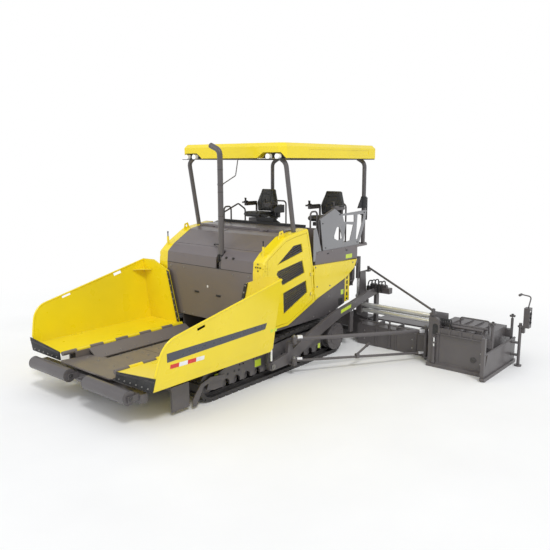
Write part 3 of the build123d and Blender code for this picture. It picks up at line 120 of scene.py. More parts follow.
class Nodes(Tree):
    """A material's node tree."""

    def __init__(self, name):
        self.material = bpy.data.materials.new(name)
        super().__init__(self.material)
        self.shader = self.add("ShaderNodeBsdfPrincipled")
        self.out = self.add("ShaderNodeOutputMaterial", {0: self.shader.outputs[0]})
        self.place = self.add("ShaderNodeTexCoord").outputs["Object"]

    def put(self, socket, value):
        self.fill(self.shader.inputs[socket], value)

    def noise(self, scale, detail, stretch=None, rough=0.5):
        place = self.place
        if stretch:
            place = self.add("ShaderNodeMapping", {"Vector": place, "Scale": stretch}).outputs[0]
        values = {"Vector": place, "Scale": scale, "Detail": detail, "Roughness": rough}
        return self.add("ShaderNodeTexNoise", values).outputs[0]

    def cells(self, scale, randomness=1.0):
        """Distance from the edges of small cells."""
        values = {"Vector": self.place, "Scale": scale, "Randomness": randomness}
        return self.add("ShaderNodeTexVoronoi", values, feature="DISTANCE_TO_EDGE").outputs["Distance"]

    def span(self, value, low, high, to_low, to_high):
        values = {"Value": value, "From Min": low, "From Max": high, "To Min": to_low, "To Max": to_high}
        return self.add("ShaderNodeMapRange", values).outputs[0]

    def cloud(self, scale, detail, low=0.0, high=1.0):
        """Soft noise that spans a range."""
        return self.span(self.noise(scale, detail), NOISE_LOW, NOISE_HIGH, low, high)

    def math(self, operation, a, b):
        return self.add("ShaderNodeMath", {0: a, 1: b}, operation=operation).outputs[0]

    def mix(self, share, a, b):
        return self.add("ShaderNodeMix", {0: share, 6: a, 7: b}, data_type="RGBA").outputs[2]

    def bevel_normal(self, radius):
        return self.add("ShaderNodeBevel", {"Radius": radius}, samples=4).outputs[0]

    def edges(self, radius=EDGE_WIDTH):
        """How near an outer edge is, from the difference between the rounded and the flat normal."""
        both = {0: self.bevel_normal(radius), 1: self.add("ShaderNodeNewGeometry").outputs["Normal"]}
        dot = self.add("ShaderNodeVectorMath", both, operation="DOT_PRODUCT")
        return self.span(dot.outputs["Value"], 0.98, 0.8, 0.0, 1.0)

    def surface(self, height, strength, depth, round_edges=0.0):
        values = {"Strength": strength, "Distance": depth, "Height": height}
        if round_edges:
            values["Normal"] = self.bevel_normal(round_edges)
        self.put("Normal", self.add("ShaderNodeBump", values).outputs[0])

    def color(self, value):
        self.put("Base Color", value)

    def rough(self, value):
        self.put("Roughness", value)


def shade(color, factor):
    return tuple(min(1.0, c * factor) for c in color)


def paint(name, color, rough, coat, wear, dust, vary=0.06, grain=0.12):
    """Sprayed paint: faint cloudiness, orange peel, lighter rubbed edges and road dust low down."""
    m = Nodes(name)
    tone = m.mix(m.cloud(1.3, 5.0), shade(color, 1 - vary), shade(color, 1 + vary))
    specks = m.span(m.noise(38.0, 6.0, rough=0.7), 0.62, 0.72, 0.0, 0.35)
    tone = m.mix(specks, tone, shade(color, 0.82))
    rubbed = m.math("MULTIPLY", m.edges(), m.span(m.noise(14.0, 5.0), 0.42, 0.6, 0.0, wear))
    tone = m.mix(rubbed, tone, tuple(0.55 * c + 0.25 for c in color))
    height = m.add("ShaderNodeSeparateXYZ", {0: m.place}).outputs["Z"]
    low = m.span(height, 0.05, 0.85, 1.0, 0.0)
    dirt = m.math("MULTIPLY", low, m.span(m.noise(5.0, 8.0, rough=0.65), 0.35, 0.75, 0.0, dust))
    m.color(m.mix(dirt, tone, ROAD_DUST))
    gloss = m.cloud(3.0, 3.0, rough - 0.05, rough + 0.07)
    m.rough(m.math("ADD", gloss, m.math("MULTIPLY", dirt, 0.5)))
    m.put("Coat Weight", coat)
    m.put("Coat Roughness", 0.12)
    m.surface(m.noise(260.0, 2.0), grain, 0.0006, 0.004)
    return m.material


def worn_steel(name, color, rough=0.42, bright=0.5):
    """Bare dark steel of shoes, chains and slats, bright where it rubs."""
    m = Nodes(name)
    tone = m.span(m.noise(6.0, 7.0, rough=0.6), 0.35, 0.7, 0.0, 1.0)
    tone = m.mix(tone, shade(color, 0.75), shade(color, 1.2))
    tone = m.mix(m.span(m.noise(11.0, 8.0, rough=0.7), 0.58, 0.75, 0.0, 0.25), tone, RUST)
    edge = m.math("MULTIPLY", m.edges(0.008), m.span(m.noise(20.0, 3.0), 0.35, 0.65, 0.1, bright))
    m.color(m.mix(edge, tone, RUBBED_STEEL))
    m.rough(m.cloud(18.0, 5.0, rough - 0.1, rough + 0.16))
    m.put("Metallic", 0.55)
    m.surface(m.noise(90.0, 6.0, rough=0.65), 0.25, 0.0012, 0.004)
    return m.material


def chrome(name):
    """Chrome plate with fine drawn streaks along the tube and blotches of an oil film; its whitish colour and
    part-metal finish paint a reflection of the white studio.
    """
    m = Nodes(name)
    streak = m.noise(60.0, 3.0, stretch=(9.0, 0.15, 9.0))
    # Whitish base colour with Metallic well below 1: painted reflection of the bright studio
    m.color(m.mix(m.cloud(4.0, 4.0), (0.8, 0.8, 0.78), (0.92, 0.92, 0.91)))
    m.rough(m.span(streak, NOISE_LOW, NOISE_HIGH, 0.14, 0.27))
    m.put("Metallic", 0.62)
    m.surface(streak, 0.05, 0.0004)
    return m.material


def rubber(name):
    """Dull rubber, lighter along its outer edges."""
    m = Nodes(name)
    tone = m.span(m.noise(7.0, 6.0), 0.35, 0.7, 0.0, 1.0)
    tone = m.mix(tone, (0.017, 0.017, 0.018), (0.042, 0.041, 0.041))
    m.color(m.mix(m.math("MULTIPLY", m.edges(), 0.3), tone, (0.12, 0.115, 0.11)))
    m.rough(m.cloud(25.0, 4.0, 0.55, 0.75))
    m.surface(m.noise(420.0, 3.0), 0.3, 0.0005, 0.003)
    return m.material


def vinyl(name):
    """Grained seat vinyl."""
    m = Nodes(name)
    m.color(m.mix(m.cloud(9.0, 5.0), (0.018, 0.018, 0.019), (0.034, 0.034, 0.035)))
    m.rough(m.cloud(30.0, 3.0, 0.42, 0.58))
    m.put("Sheen Weight", 0.12)
    m.surface(m.span(m.cells(320.0), 0.0, 0.12, 0.0, 1.0), 0.35, 0.0008)
    return m.material


def plastic(name, color, rough=0.5):
    """Moulded plastic with a fine grain."""
    m = Nodes(name)
    m.color(m.mix(m.cloud(12.0, 4.0), shade(color, 0.85), shade(color, 1.15)))
    m.rough(m.cloud(40.0, 3.0, rough - 0.07, rough + 0.07))
    m.surface(m.noise(500.0, 2.0), 0.2, 0.0004, 0.002)
    return m.material


def film(name, color, cells=0.0, rough=0.3):
    """A stuck-on film; reflective film has a pattern of small cells."""
    m = Nodes(name)
    tone = m.mix(m.cloud(5.0, 5.0), shade(color, 0.92), shade(color, 1.06))
    height = m.noise(150.0, 3.0)
    if cells:
        height = m.cells(cells, 0.15)
        tone = m.mix(m.span(height, 0.0, 0.06, 0.28, 0.0), tone, shade(color, 0.5))
    m.color(tone)
    m.rough(m.cloud(20.0, 4.0, rough - 0.06, rough + 0.1))
    m.put("Coat Weight", 0.25)
    m.surface(height, 0.12, 0.0004)
    return m.material


def lens(name):
    """Lamp glass whose whitish ribbed colour paints the reflection of a ribbed reflector behind it, with a
    faint painted glow.
    """
    m = Nodes(name)
    wave = {"wave_type": "BANDS", "bands_direction": "DIAGONAL"}
    ribs = m.add("ShaderNodeTexWave", {"Vector": m.place, "Scale": 60.0}, **wave).outputs[1]
    # Whitish ribs: painted reflection of the reflector behind the glass
    m.color(m.mix(m.span(ribs, 0.0, 1.0, 0.0, 1.0), (0.82, 0.83, 0.84), (0.97, 0.97, 0.96)))
    m.rough(m.cloud(30.0, 2.0, 0.05, 0.12))
    m.put("Coat Weight", 1.0)
    # Faint painted glow, also on the dial faces and the screen that share this glass
    m.put("Emission Color", (1.0, 0.98, 0.94))
    m.put("Emission Strength", 0.25)
    m.surface(ribs, 0.2, 0.001)
    return m.material


# Each paint has its colour, roughness, coat, edge wear, road dust, cloudiness and orange peel
RECIPES = {
    "lemon_yellow": (paint, (0.9, 0.705, 0.01), 0.3, 0.45, 0.2, 0.22, 0.035, 0.08),
    "warm_grey": (paint, (0.15, 0.129, 0.132), 0.36, 0.3, 0.3, 0.2),
    "charcoal": (paint, (0.104, 0.094, 0.096), 0.42, 0.2, 0.45, 0.22, 0.1),
    "light_grey": (paint, (0.25, 0.25, 0.26), 0.4, 0.2, 0.3, 0.2),
    "brown_grey": (paint, (0.165, 0.142, 0.13), 0.4, 0.15, 0.4, 0.2, 0.08),
    "vent_grey": (paint, (0.048, 0.047, 0.052), 0.5, 0.1, 0.2, 0.2),
    "dark_steel": (worn_steel, (0.07, 0.066, 0.066)),
    "bare_steel": (worn_steel, (0.15, 0.135, 0.125), 0.4, 0.6),
    "chrome": (chrome,),
    "rubber": (rubber,),
    "black_vinyl": (vinyl,),
    "black_plastic": (plastic, (0.022, 0.022, 0.024)),
    "lamp_glass": (lens,),
    "stripe_film": (film, (0.055, 0.062, 0.085)),
    "lime_film": (film, (0.62, 0.78, 0.05)),
    "red_film": (film, (0.72, 0.03, 0.025), 90.0, 0.22),
    "white_film": (film, (0.86, 0.86, 0.88), 90.0, 0.22),
    "zinc_bolts": (worn_steel, (0.32, 0.31, 0.29), 0.35, 0.4),
}
MATERIALS = {name: recipe(name, *values) for name, (recipe, *values) in RECIPES.items()}


def dress_nodes():
    slots = {part["node"]: part["material_slot"] for part in frame["record"]["subparts"]}
    for name, obj in nodes.items():
        material = MATERIALS[slots[name]]
        if not obj.material_slots:
            obj.data.materials.append(material)
        for slot in obj.material_slots:
            slot.material = material


# Pieces
def rect(u0, u1, v0, v1):
    return [(u0, v0), (u1, v0), (u1, v1), (u0, v1)]


def arc(u, v, radius, turn, steps):
    """Points on an arc about a centre, from the first axis round through a turn."""
    angles = [turn * k / steps for k in range(steps + 1)]
    return [(u + radius * math.cos(a), v + radius * math.sin(a)) for a in angles]


def rounded(points, radius, steps=5):
    """The same path with each inner corner rounded by an arc."""
    points = [Vector(p) for p in points]
    path = [points[0]]
    for before, corner, after in zip(points, points[1:], points[2:]):
        a, b = (before - corner), (after - corner)
        reach = min(radius, a.length * 0.49, b.length * 0.49)
        start, end = corner + a.normalized() * reach, corner + b.normalized() * reach
        for n in range(steps + 1):
            t = n / steps
            path.append((1 - t) ** 2 * start + 2 * t * (1 - t) * corner + t ** 2 * end)
    return path + [points[-1]]


def solid_object(name, verts, faces):
    """A mesh object whose faces all look outwards."""
    mesh = bpy.data.meshes.new(name)
    mesh.from_pydata(verts, [], faces)
    work = bmesh.new()
    work.from_mesh(mesh)
    bmesh.ops.recalc_face_normals(work, faces=work.faces)
    work.to_mesh(mesh)
    work.free()
    return add_object(name, mesh)


class Piece:
    """One mesh of many simple solids, all in the machine's own places."""

    def __init__(self):
        self.verts = []
        self.faces = []

    def solid(self, verts, faces):
        start = len(self.verts)
        self.verts.extend(verts)
        self.faces.extend([[start + n for n in face] for face in faces])
        return self

    def prism(self, low, high):
        """A solid between two rings of the same number of points."""
        count = len(low)
        faces = [list(range(count))[::-1], [count + n for n in range(count)]]
        for n in range(count):
            faces.append([n, (n + 1) % count, count + (n + 1) % count, count + n])
        return self.solid([tuple(p) for p in low] + [tuple(p) for p in high], faces)

    def box(self, x0, x1, y0, y1, z0, z1):
        return self.plate(rect(x0, x1, y0, y1), "xy", z0, z1)

    def plate(self, points, plane, a, b):
        """A plate with its outline in the plane xy, xz or yz, between two depths."""
        place = {"xz": lambda p, d: (p[0], d, p[1]), "yz": lambda p, d: (d, p[0], p[1]),
                 "xy": lambda p, d: (p[0], p[1], d)}[plane]
        return self.prism([place(p, a) for p in points], [place(p, b) for p in points])

    def tube(self, points, radius, sides=12, bend=0.0):
        """A round bar through the points, its corners rounded by bend."""
        points = [Vector(p) for p in (rounded(points, bend) if bend else points)]
        rings = []
        normal = None
        for n, point in enumerate(points):
            before = (point - points[n - 1]).normalized() if n else (points[1] - point).normalized()
            after = (points[n + 1] - point).normalized() if n + 1 < len(points) else before
            along = (before + after).normalized()
            if normal is None:
                normal = along.orthogonal().normalized()
            normal = (normal - along * normal.dot(along)).normalized()
            across = along.cross(normal)
            rings.append([point + radius * (math.cos(a) * normal + math.sin(a) * across)
                          for a in (TURN * k / sides for k in range(sides))])
        verts = [tuple(v) for ring in rings for v in ring]
        faces = [list(range(sides))[::-1], [len(verts) - sides + k for k in range(sides)]]
        for n in range(len(rings) - 1):
            for k in range(sides):
                faces.append([n * sides + k, n * sides + (k + 1) % sides,
                              (n + 1) * sides + (k + 1) % sides, (n + 1) * sides + k])
        return self.solid(verts, faces)

    def rod(self, start, end, radius, sides=16):
        return self.tube([start, end], radius, sides)

    def post(self, x, y, z0, z1, radius, sides=16):
        """An upright rod."""
        return self.rod((x, y, z0), (x, y, z1), radius, sides)

    def disc(self, x, y0, y1, z, radius, sides=16):
        """A rod across the machine."""
        return self.rod((x, y0, z), (x, y1, z), radius, sides)

    def bolt(self, at, along, size=0.012):
        """A washer and a hexagon head standing on a surface."""
        at, along = Vector(at), Vector(along).normalized()
        self.rod(at - along * 0.001, at + along * size * 0.2, size * 1.15, 12)
        return self.rod(at + along * size * 0.2, at + along * size * 0.9, size * 0.9, 6)

    def bolts(self, places, along, size=0.012):
        for at in places:
            self.bolt(at, along, size)
        return self

    def side_bolts(self, places, y, size):
        """Bolts on a face that looks outwards, from their X and Z."""
        return self.bolts([(x, y, z) for x, z in places], OUT, size)

    def make(self, name, material, body="tractor", slot=None, bevel=0.0, smooth=False, soft=0.0, side=1):
        """One object that rides a body; soft is a bevel with smooth shading."""
        obj = solid_object(name, [(x + SHIFT, side * y, z) for x, y, z in self.verts], self.faces)
        obj.data.materials.append(MATERIALS[material])
        if bevel or soft:
            edge = obj.modifiers.new("edge", "BEVEL")
            edge.width, edge.segments, edge.limit_method = bevel or soft, 2, "ANGLE"
        if smooth or soft:
            obj.data.shade_smooth()
            obj.data.set_sharp_from_angle(angle=math.radians(40))
        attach(obj, body)
        return obj

    def pair(self, name, material, body="tractor", **finish):
        """The left piece and its mirror image, each on its own side's body."""
        for side_name, side in SIDES:
            self.make(f"{name}_{side_name}", material, body.replace("SIDE", side_name), side=side, **finish)


# Stripe, reflectors and blank plates on the hopper wings
WING_FOOT_Y, WING_FOOT_Z = 1.494, 0.552
WING_TOP_Y, WING_TOP_Z = 1.686, 1.746
WING_WALL = 0.014
WING_TILT = math.atan((WING_TOP_Y - WING_FOOT_Y) / (WING_TOP_Z - WING_FOOT_Z))
STRIPE = [(3.156, 0.922), (1.204, 0.976), (1.175, 1.073), (3.175, 1.053)]
REFLECTOR_X, REFLECTOR_Z = 3.095, 0.817
REFLECTOR_SIZE = (0.155, 0.06, 0.004)  # length, height, and how far one stands below the last
WING_LIMES_X, LIME_SIZE = (1.06, 0.97), 0.06


def wing_skin(x, z, side, off=0.0):
    """A point on the outer face of a wing wall, at a height, lifted off it."""
    along = (z - WING_FOOT_Z + WING_WALL * math.sin(WING_TILT)) / math.cos(WING_TILT)
    y = WING_FOOT_Y - WING_WALL + (WING_WALL + off) * math.cos(WING_TILT) + along * math.sin(WING_TILT)
    return x, side * y, z - off * math.sin(WING_TILT)


def wing_film(name, side_name, side, corners, material):
    low, high = ([wing_skin(x, z, side, off) for x, z in corners] for off in (-0.001, 0.0015))
    Piece().prism(low, high).make(name, material, f"hopper_wing_{side_name}")


def wing_marks():
    long, tall, fall = REFLECTOR_SIZE
    for name, side in SIDES:
        wing_film(f"stripe_{name}", name, side, STRIPE, "stripe_film")
        for n in range(4):
            x0, z0 = REFLECTOR_X - long * n, REFLECTOR_Z - fall * n
            x1, z1 = REFLECTOR_X - long * (n + 1), z0 - fall
            corners = [(x0, z0), (x1, z1), (x1, z1 + tall), (x0, z0 + tall)]
            wing_film(f"reflector_{name}_{n}", name, side, corners, "white_film" if n % 2 else "red_film")
        for n, x in enumerate(WING_LIMES_X):
            wing_film(f"lime_{name}_{n}", name, side, rect(x, x - LIME_SIZE, 0.885, 0.935), "lime_film")


# Forms that stand in for CAD nodes
PIPE_X, PIPE_Y, PIPE_R, PIPE_SIDES = 0.82, 0.258, 0.047, 32
PIPE_END = (PIPE_X, 0.045, 3.79)
PIPE_CLIP_Z = 3.15
POST_Y, POST_R = 1.16, 0.04
FRONT_POST_FOOT, FRONT_POST_TOP = (-0.011, 2.315), (0.212, 0.115)  # X and Z, X and how far it turns in
REAR_POST_X, REAR_POST_IN, POST_BEND_Z = -2.2, 0.15, 3.5
GUARD_SEAL = [(-0.69, 2.512), (-0.673, 2.505), (-0.765, 1.953), (-0.782, 1.953)]
GUARD_SCREWS = ((-0.765, 2.44), (-0.862, 1.995), (-1.3, 2.57), (-2.13, 2.56), (-1.9, 2.005))


def stack():
    """Exhaust stack up past the front of the roof, its cut mouth turned to the far side, and its stay."""
    pipe = Piece()
    pipe.tube([(0.7, PIPE_Y, 1.64), (PIPE_X, PIPE_Y, 1.64), (PIPE_X, PIPE_Y, 3.705), PIPE_END],
              PIPE_R, PIPE_SIDES, 0.09)
    pipe.tube([(PIPE_X, 0.3, PIPE_CLIP_Z), (0.42, 0.229, 3.289), (0.345, 0.219, 3.578)], 0.009, 10, 0.03)
    pipe.rod((PIPE_X + 0.048, PIPE_Y, 3.135), (PIPE_X - 0.048, PIPE_Y, 3.165), 0.012, 10)
    pipe.post(PIPE_X, PIPE_Y, 3.14, 3.165, 0.051, PIPE_SIDES)
    obj = pipe.make("exhaust_pipe", "charcoal", slot="charcoal", smooth=True)
    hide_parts("exhaust_stack")
    end, along = Vector(PIPE_END), Vector((0.0, -0.929, 0.371))
    # A thin dark disc over the cut mouth paints the shade inside the open pipe
    mouth = Piece().rod(end + along * 0.0004, end + along * 0.0016, 0.041, PIPE_SIDES)
    mouth.make("exhaust_mouth_shade", "rubber")


def roof_posts():
    """The four posts of the canopy, each one bent tube that turns in under the roof."""
    posts = Piece()
    for side in (-1, 1):
        y = side * POST_Y
        posts.tube([(FRONT_POST_FOOT[0], y, FRONT_POST_FOOT[1]), (0.204, y, POST_BEND_Z),
                    (FRONT_POST_TOP[0], y - side * FRONT_POST_TOP[1], ROOF_Z)], POST_R, 24, 0.16)
        posts.tube([(REAR_POST_X, y, 1.95), (REAR_POST_X, y, POST_BEND_Z),
                    (REAR_POST_X, y - side * REAR_POST_IN, ROOF_Z)], POST_R, 24, 0.17)
    obj = posts.make("roof_posts", "charcoal", slot="charcoal", smooth=True)
    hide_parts("canopy_posts")


def deck_guard():
    """The near guard plate; the far side of the deck has only its tube rail."""
    mesh = nodes["side_guards"].data.copy()
    work = bmesh.new()
    work.from_mesh(mesh)
    bmesh.ops.delete(work, geom=[v for v in work.verts if v.co.y < 0], context="VERTS")
    work.to_mesh(mesh)
    work.free()
    obj = add_object("deck_guard", mesh)
    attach(obj, "tractor")
    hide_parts("side_guards")
    seal = Piece().plate(GUARD_SEAL, "xz", GUARD_PLATE_Y + 0.0005, GUARD_PLATE_Y + 0.0025)
    seal.make("guard_seal", "rubber")
    screws = Piece().side_bolts(GUARD_SCREWS, GUARD_PLATE_Y, 0.011)
    screws.make("guard_screws", "rubber")


# Seats
SEAT_Y = 0.82
PAD_CROWN = 0.014
PAD_ROUND, PAD_VOXEL = 0.018, 0.012
CLOTH_FRAMES, CLOTH_PRESSURE = 15, 4.0
CUSHION = [(-1.63, 2.43), (-1.16, 2.435), (-1.12, 2.475), (-1.16, 2.52), (-1.55, 2.51), (-1.63, 2.49)]
CUSHION_HALF, CUSHION_TOP_Z = 0.24, 2.47
BACK_HALF = [(0.23, 2.51), (0.272, 2.7), (0.245, 2.79), (0.17, 2.99)]
BACK_FOOT_X, BACK_FOOT_Z, BACK_LEAN = -1.6, 2.52, math.radians(-10)
SEAM_DEPTH, SEAM_WIDTH = 0.01, 0.008


def apply_all(obj):
    graph = bpy.context.evaluated_depsgraph_get()
    mesh = bpy.data.meshes.new_from_object(obj.evaluated_get(graph))
    obj.modifiers.clear()
    obj.data = mesh


def blow_up(obj):
    """Cloth pressure rounds a form; no point moves more than the crown."""
    start = [v.co.copy() for v in obj.data.vertices]
    cloth = obj.modifiers.new("cloth", "CLOTH").settings
    cloth.use_pressure = True
    cloth.uniform_pressure_force = CLOTH_PRESSURE
    cloth.effector_weights.gravity = 0.0
    cloth.quality = 4
    for step in range(1, CLOTH_FRAMES + 1):
        bpy.context.scene.frame_set(step)
    apply_all(obj)
    bpy.context.scene.frame_set(1)
    for vertex, old in zip(obj.data.vertices, start):
        move = vertex.co - old
        if move.length > PAD_CROWN:
            vertex.co = old + move.normalized() * PAD_CROWN


def pad(outline, plane, a, b, name):
    """A padded form: a closed plate remeshed, then blown up."""
    piece = Piece().plate(outline, plane, a, b)
    obj = solid_object(name, piece.verts, piece.faces)
    round_off = obj.modifiers.new("round", "BEVEL")
    round_off.width, round_off.segments, round_off.limit_method = PAD_ROUND, 3, "ANGLE"
    remesh = obj.modifiers.new("remesh", "REMESH")
    remesh.mode, remesh.voxel_size = "VOXEL", PAD_VOXEL
    apply_all(obj)
    blow_up(obj)
    smoother = obj.modifiers.new("smoother", "SUBSURF")
    smoother.levels = smoother.render_levels = 1
    apply_all(obj)
    obj.data.shade_smooth()
    return obj


def sew(obj, on_face, half_width, across):
    """Presses sewn channels into a face: two along it, and across it the ones that across measures."""
    normals = [n.vector.copy() for n in obj.data.vertex_normals]
    for vertex, normal in zip(obj.data.vertices, normals):
        p = vertex.co
        if not on_face(p):
            continue
        near = abs(abs(p.y) - half_width)
        if abs(p.y) < half_width:
            near = min([near] + across(p))
        vertex.co -= normal * SEAM_DEPTH * math.exp(-(near / SEAM_WIDTH) ** 2)


def seat_pads():
    cushion = pad(CUSHION, "xz", -CUSHION_HALF, CUSHION_HALF, "seat_cushion_form")
    sew(cushion, lambda p: p.z > CUSHION_TOP_Z, 0.13, lambda p: [abs(p.x + 1.42)])
    outline = [(-BACK_HALF[0][0], BACK_HALF[0][1])] + BACK_HALF + [(-y, z) for y, z in BACK_HALF[:0:-1]]
    back = pad(outline, "yz", -0.045, 0.03, "seat_back_form")
    sew(back, lambda p: p.x > 0, 0.12, lambda p: [abs(p.z - 2.7), abs(p.z - 2.86)])
    lean = Matrix.Rotation(BACK_LEAN, 4, "Y")
    up, down = Matrix.Translation((BACK_FOOT_X, 0, BACK_FOOT_Z)), Matrix.Translation((0, 0, -BACK_FOOT_Z))
    back.data.transform(up @ lean @ down)
    for name, side in SIDES:
        for form, what in ((cushion, "cushion"), (back, "backrest")):
            mesh = form.data.copy()
            mesh.transform(Matrix.Translation((SHIFT, side * SEAT_Y, 0)))
            mesh.materials.clear()
            mesh.materials.append(MATERIALS["black_vinyl"])
            obj = add_object(f"seat_{what}_{name}", mesh)
            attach(obj, "tractor")
            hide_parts(f"seat_{name}")
    for form in (cushion, back):
        bpy.data.objects.remove(form)


# Hopper details
WING = "hopper_wing_SIDE"
SEAL_X = 0.9855  # face of the sealing strip on the wing's rear wall
SEAL_FOOT, SEAL_HEAD = (0.722, 0.74), (0.955, 1.55)  # Y and Z of its first and last bolt
FLAP_X, FLAP_Y, FLAP_WIDE = 3.3703, 0.722, 0.75
SEAL_BOLTS, FLAP_BOLTS = 8, 6
PULLS, PULL_HALF, PULL_TALL = ((-0.28, 1.279), (0.251, 1.272)), 0.055, 0.017
CHAIN_Y, CHAIN_Z = 0.33, 0.4985
CHAIN_FROM, CHAIN_TO, CHAIN_PITCH = 0.935, 2.785, 0.076
ROLLER_X, ROLLER_Z = 3.512, 0.448


def wing_trim():
    """Rear wall's sealing strip, flap's clamp strip and corner rib."""
    band = [(0.692, 0.7), (0.748, 0.7), (0.985, 1.578), (0.929, 1.578)]
    Piece().plate(band, "yz", SEAL_X - 0.005, SEAL_X).pair("seal_band", "rubber", WING, bevel=0.001)
    bolts = Piece()
    for n in range(SEAL_BOLTS):
        t = n / (SEAL_BOLTS - 1)
        y, z = (foot + t * (head - foot) for foot, head in zip(SEAL_FOOT, SEAL_HEAD))
        bolts.bolt((SEAL_X, y, z), AHEAD, 0.013)
    bolts.pair("seal_bolts", "zinc_bolts", WING)
    clamp = [(FLAP_Y, 0.64), (1.535, 0.696), (1.54, 0.716), (FLAP_Y, 0.66)]
    Piece().plate(clamp, "yz", FLAP_X, FLAP_X + 0.005).pair("flap_strip", "dark_steel", WING, bevel=0.0015)
    bolts = Piece()
    for n in range(FLAP_BOLTS):
        t = (n + 0.5) / FLAP_BOLTS
        bolts.bolt((FLAP_X + 0.0005, FLAP_Y + t * FLAP_WIDE, 0.58 + t * 0.01), AHEAD, 0.011)
    bolts.pair("flap_bolts", "zinc_bolts", WING)
    y = wing_skin(1.0, 1.575, 1, -0.03)[1]
    rib = Piece().plate([(0.981, y), (1.245, y), (0.981, y - 0.215)], "xy", 1.5555, 1.5695)
    rib.pair("corner_rib", "lemon_yellow", WING, slot="lemon_yellow", bevel=0.002)


def front_wall_fittings():
    """Pulls, reflector, a dark strip of painted shade along the fold under the hood, and bolts behind the
    hopper.
    """
    pulls, x = Piece(), FRONT_WALL_X
    for y, z in PULLS:
        outline = rect(y - PULL_HALF, y + PULL_HALF, z - PULL_TALL, z + PULL_TALL)
        pulls.plate(outline, "yz", x, x + 0.006)
        pulls.tube([(x + 0.004, y - PULL_HALF * 0.7, z), (x + 0.022, y - PULL_HALF * 0.6, z),
                    (x + 0.022, y + PULL_HALF * 0.6, z), (x + 0.004, y + PULL_HALF * 0.7, z)], 0.005, 8, 0.01)
    pulls.make("front_wall_pulls", "black_plastic", bevel=0.002)
    Piece().box(x, x + 0.002, -0.022, 0.01, 1.385, 1.425).make("front_wall_reflector", "white_film")
    # A thin dark strip where the hood meets the front wall paints the shade in that fold
    Piece().box(x, x + 0.0015, -1.04, 1.04, 1.738, 1.747).make("front_wall_fold_shade", "rubber")
    rows = ((0.86, 0.66), (1.68, 1.0))  # Z, and how far the row spreads
    places = [(x, y * spread, z) for y in (-0.95, -0.6, 0.6, 0.95) for z, spread in rows]
    Piece().bolts(places, AHEAD).make("front_wall_bolts", "zinc_bolts")


def nose_fittings():
    """Hood stops, exhaust clamp and exhaust seams."""
    stops = Piece()
    slope = Vector((0.857, 0, 1.0)).normalized()
    for y in (0.43, 0.589):
        foot = Vector((0.872, y, 1.936))
        stops.rod(foot - slope * 0.004, foot + slope * 0.022, 0.022, 20)
        stops.rod(foot + slope * 0.022, foot + slope * 0.028, 0.015, 20)
    stops.make("nose_stops", "rubber", soft=0.003)
    clamp = Piece()
    for z in (1.875, 1.955):
        clamp.post(PIPE_X, PIPE_Y, z, z + 0.022, 0.0535, PIPE_SIDES)
    clamp.box(0.868, 0.905, PIPE_Y - 0.012, PIPE_Y + 0.012, 1.862, 1.985)
    clamp.bolts([(0.905, PIPE_Y, z) for z in (1.885, 1.965)], AHEAD, 0.009)
    clamp.make("exhaust_clamp", "black_plastic", soft=0.0015)
    rings = Piece()
    for z in (2.62, 3.02, 3.39):
        rings.post(PIPE_X, PIPE_Y, z, z + 0.01, 0.0495, PIPE_SIDES)
    rings.make("exhaust_seams", "dark_steel", soft=0.002)


def conveyor_chains():
    """Chains in the slots of the hopper floor."""
    links = Piece()
    for n in range(int((CHAIN_TO - CHAIN_FROM) / CHAIN_PITCH)):
        x = CHAIN_FROM + n * CHAIN_PITCH
        end = x + CHAIN_PITCH
        z0, z1 = CHAIN_Z - 0.012, CHAIN_Z + 0.012
        gap = 0.017 if n % 2 else 0.024
        for y in (CHAIN_Y - gap, CHAIN_Y + gap):
            outline = [(x - 0.008, z0), (end + 0.008, z0), (end + 0.014, CHAIN_Z), (end + 0.008, z1),
                       (x - 0.008, z1), (x - 0.014, CHAIN_Z)]
            links.plate(outline, "xz", y - 0.003, y + 0.003)
        links.disc(x, CHAIN_Y - 0.03, CHAIN_Y + 0.03, CHAIN_Z, 0.0085, 10)
    links.pair("feed_chain", "bare_steel", bevel=0.0008)


def floor_bolts():
    bolts = Piece().bolts([(1.05 + 0.31 * n, y, 0.53) for y in (0.06, 0.235) for n in range(7)], UP)
    bolts.bolts([(1.05 + 0.28 * n, 0.43, 0.552) for n in range(7)], (0, -0.45, 1))
    bolts.pair("floor_bolts", "zinc_bolts")
    seams = Piece()
    for x in (1.53, 2.15):
        seams.box(x - 0.003, x + 0.003, -0.272, 0.272, 0.5295, 0.5325)
    seams.make("floor_seams", "dark_steel")
    bolts = Piece().bolts([(3.03, y, 0.56) for y in (-0.46, -0.2, 0.2, 0.46)], UP)
    bolts.make("apron_bolts", "zinc_bolts")


def push_roller_ends():
    """Caps on the beam, and bands round the rollers."""
    caps = Piece()
    for y, out in ((0.1845, -1), (1.2205, 1)):
        face = y + out * 0.006
        caps.disc(ROLLER_X, y, face, ROLLER_Z, 0.034, 24)
        caps.bolt((ROLLER_X, face, ROLLER_Z), (0, out, 0), 0.018)
    caps.pair("roller_caps", "dark_steel", "push_beam", bevel=0.0015)
    bands = Piece()
    for y in (0.222, 1.183):
        bands.disc(ROLLER_X, y - 0.006, y + 0.006, ROLLER_Z, 0.0995, 48)
    bands.pair("roller_bands", "dark_steel", "push_roller_SIDE", soft=0.002)


# Tractor sides
TOW_ARM_Y = 1.422
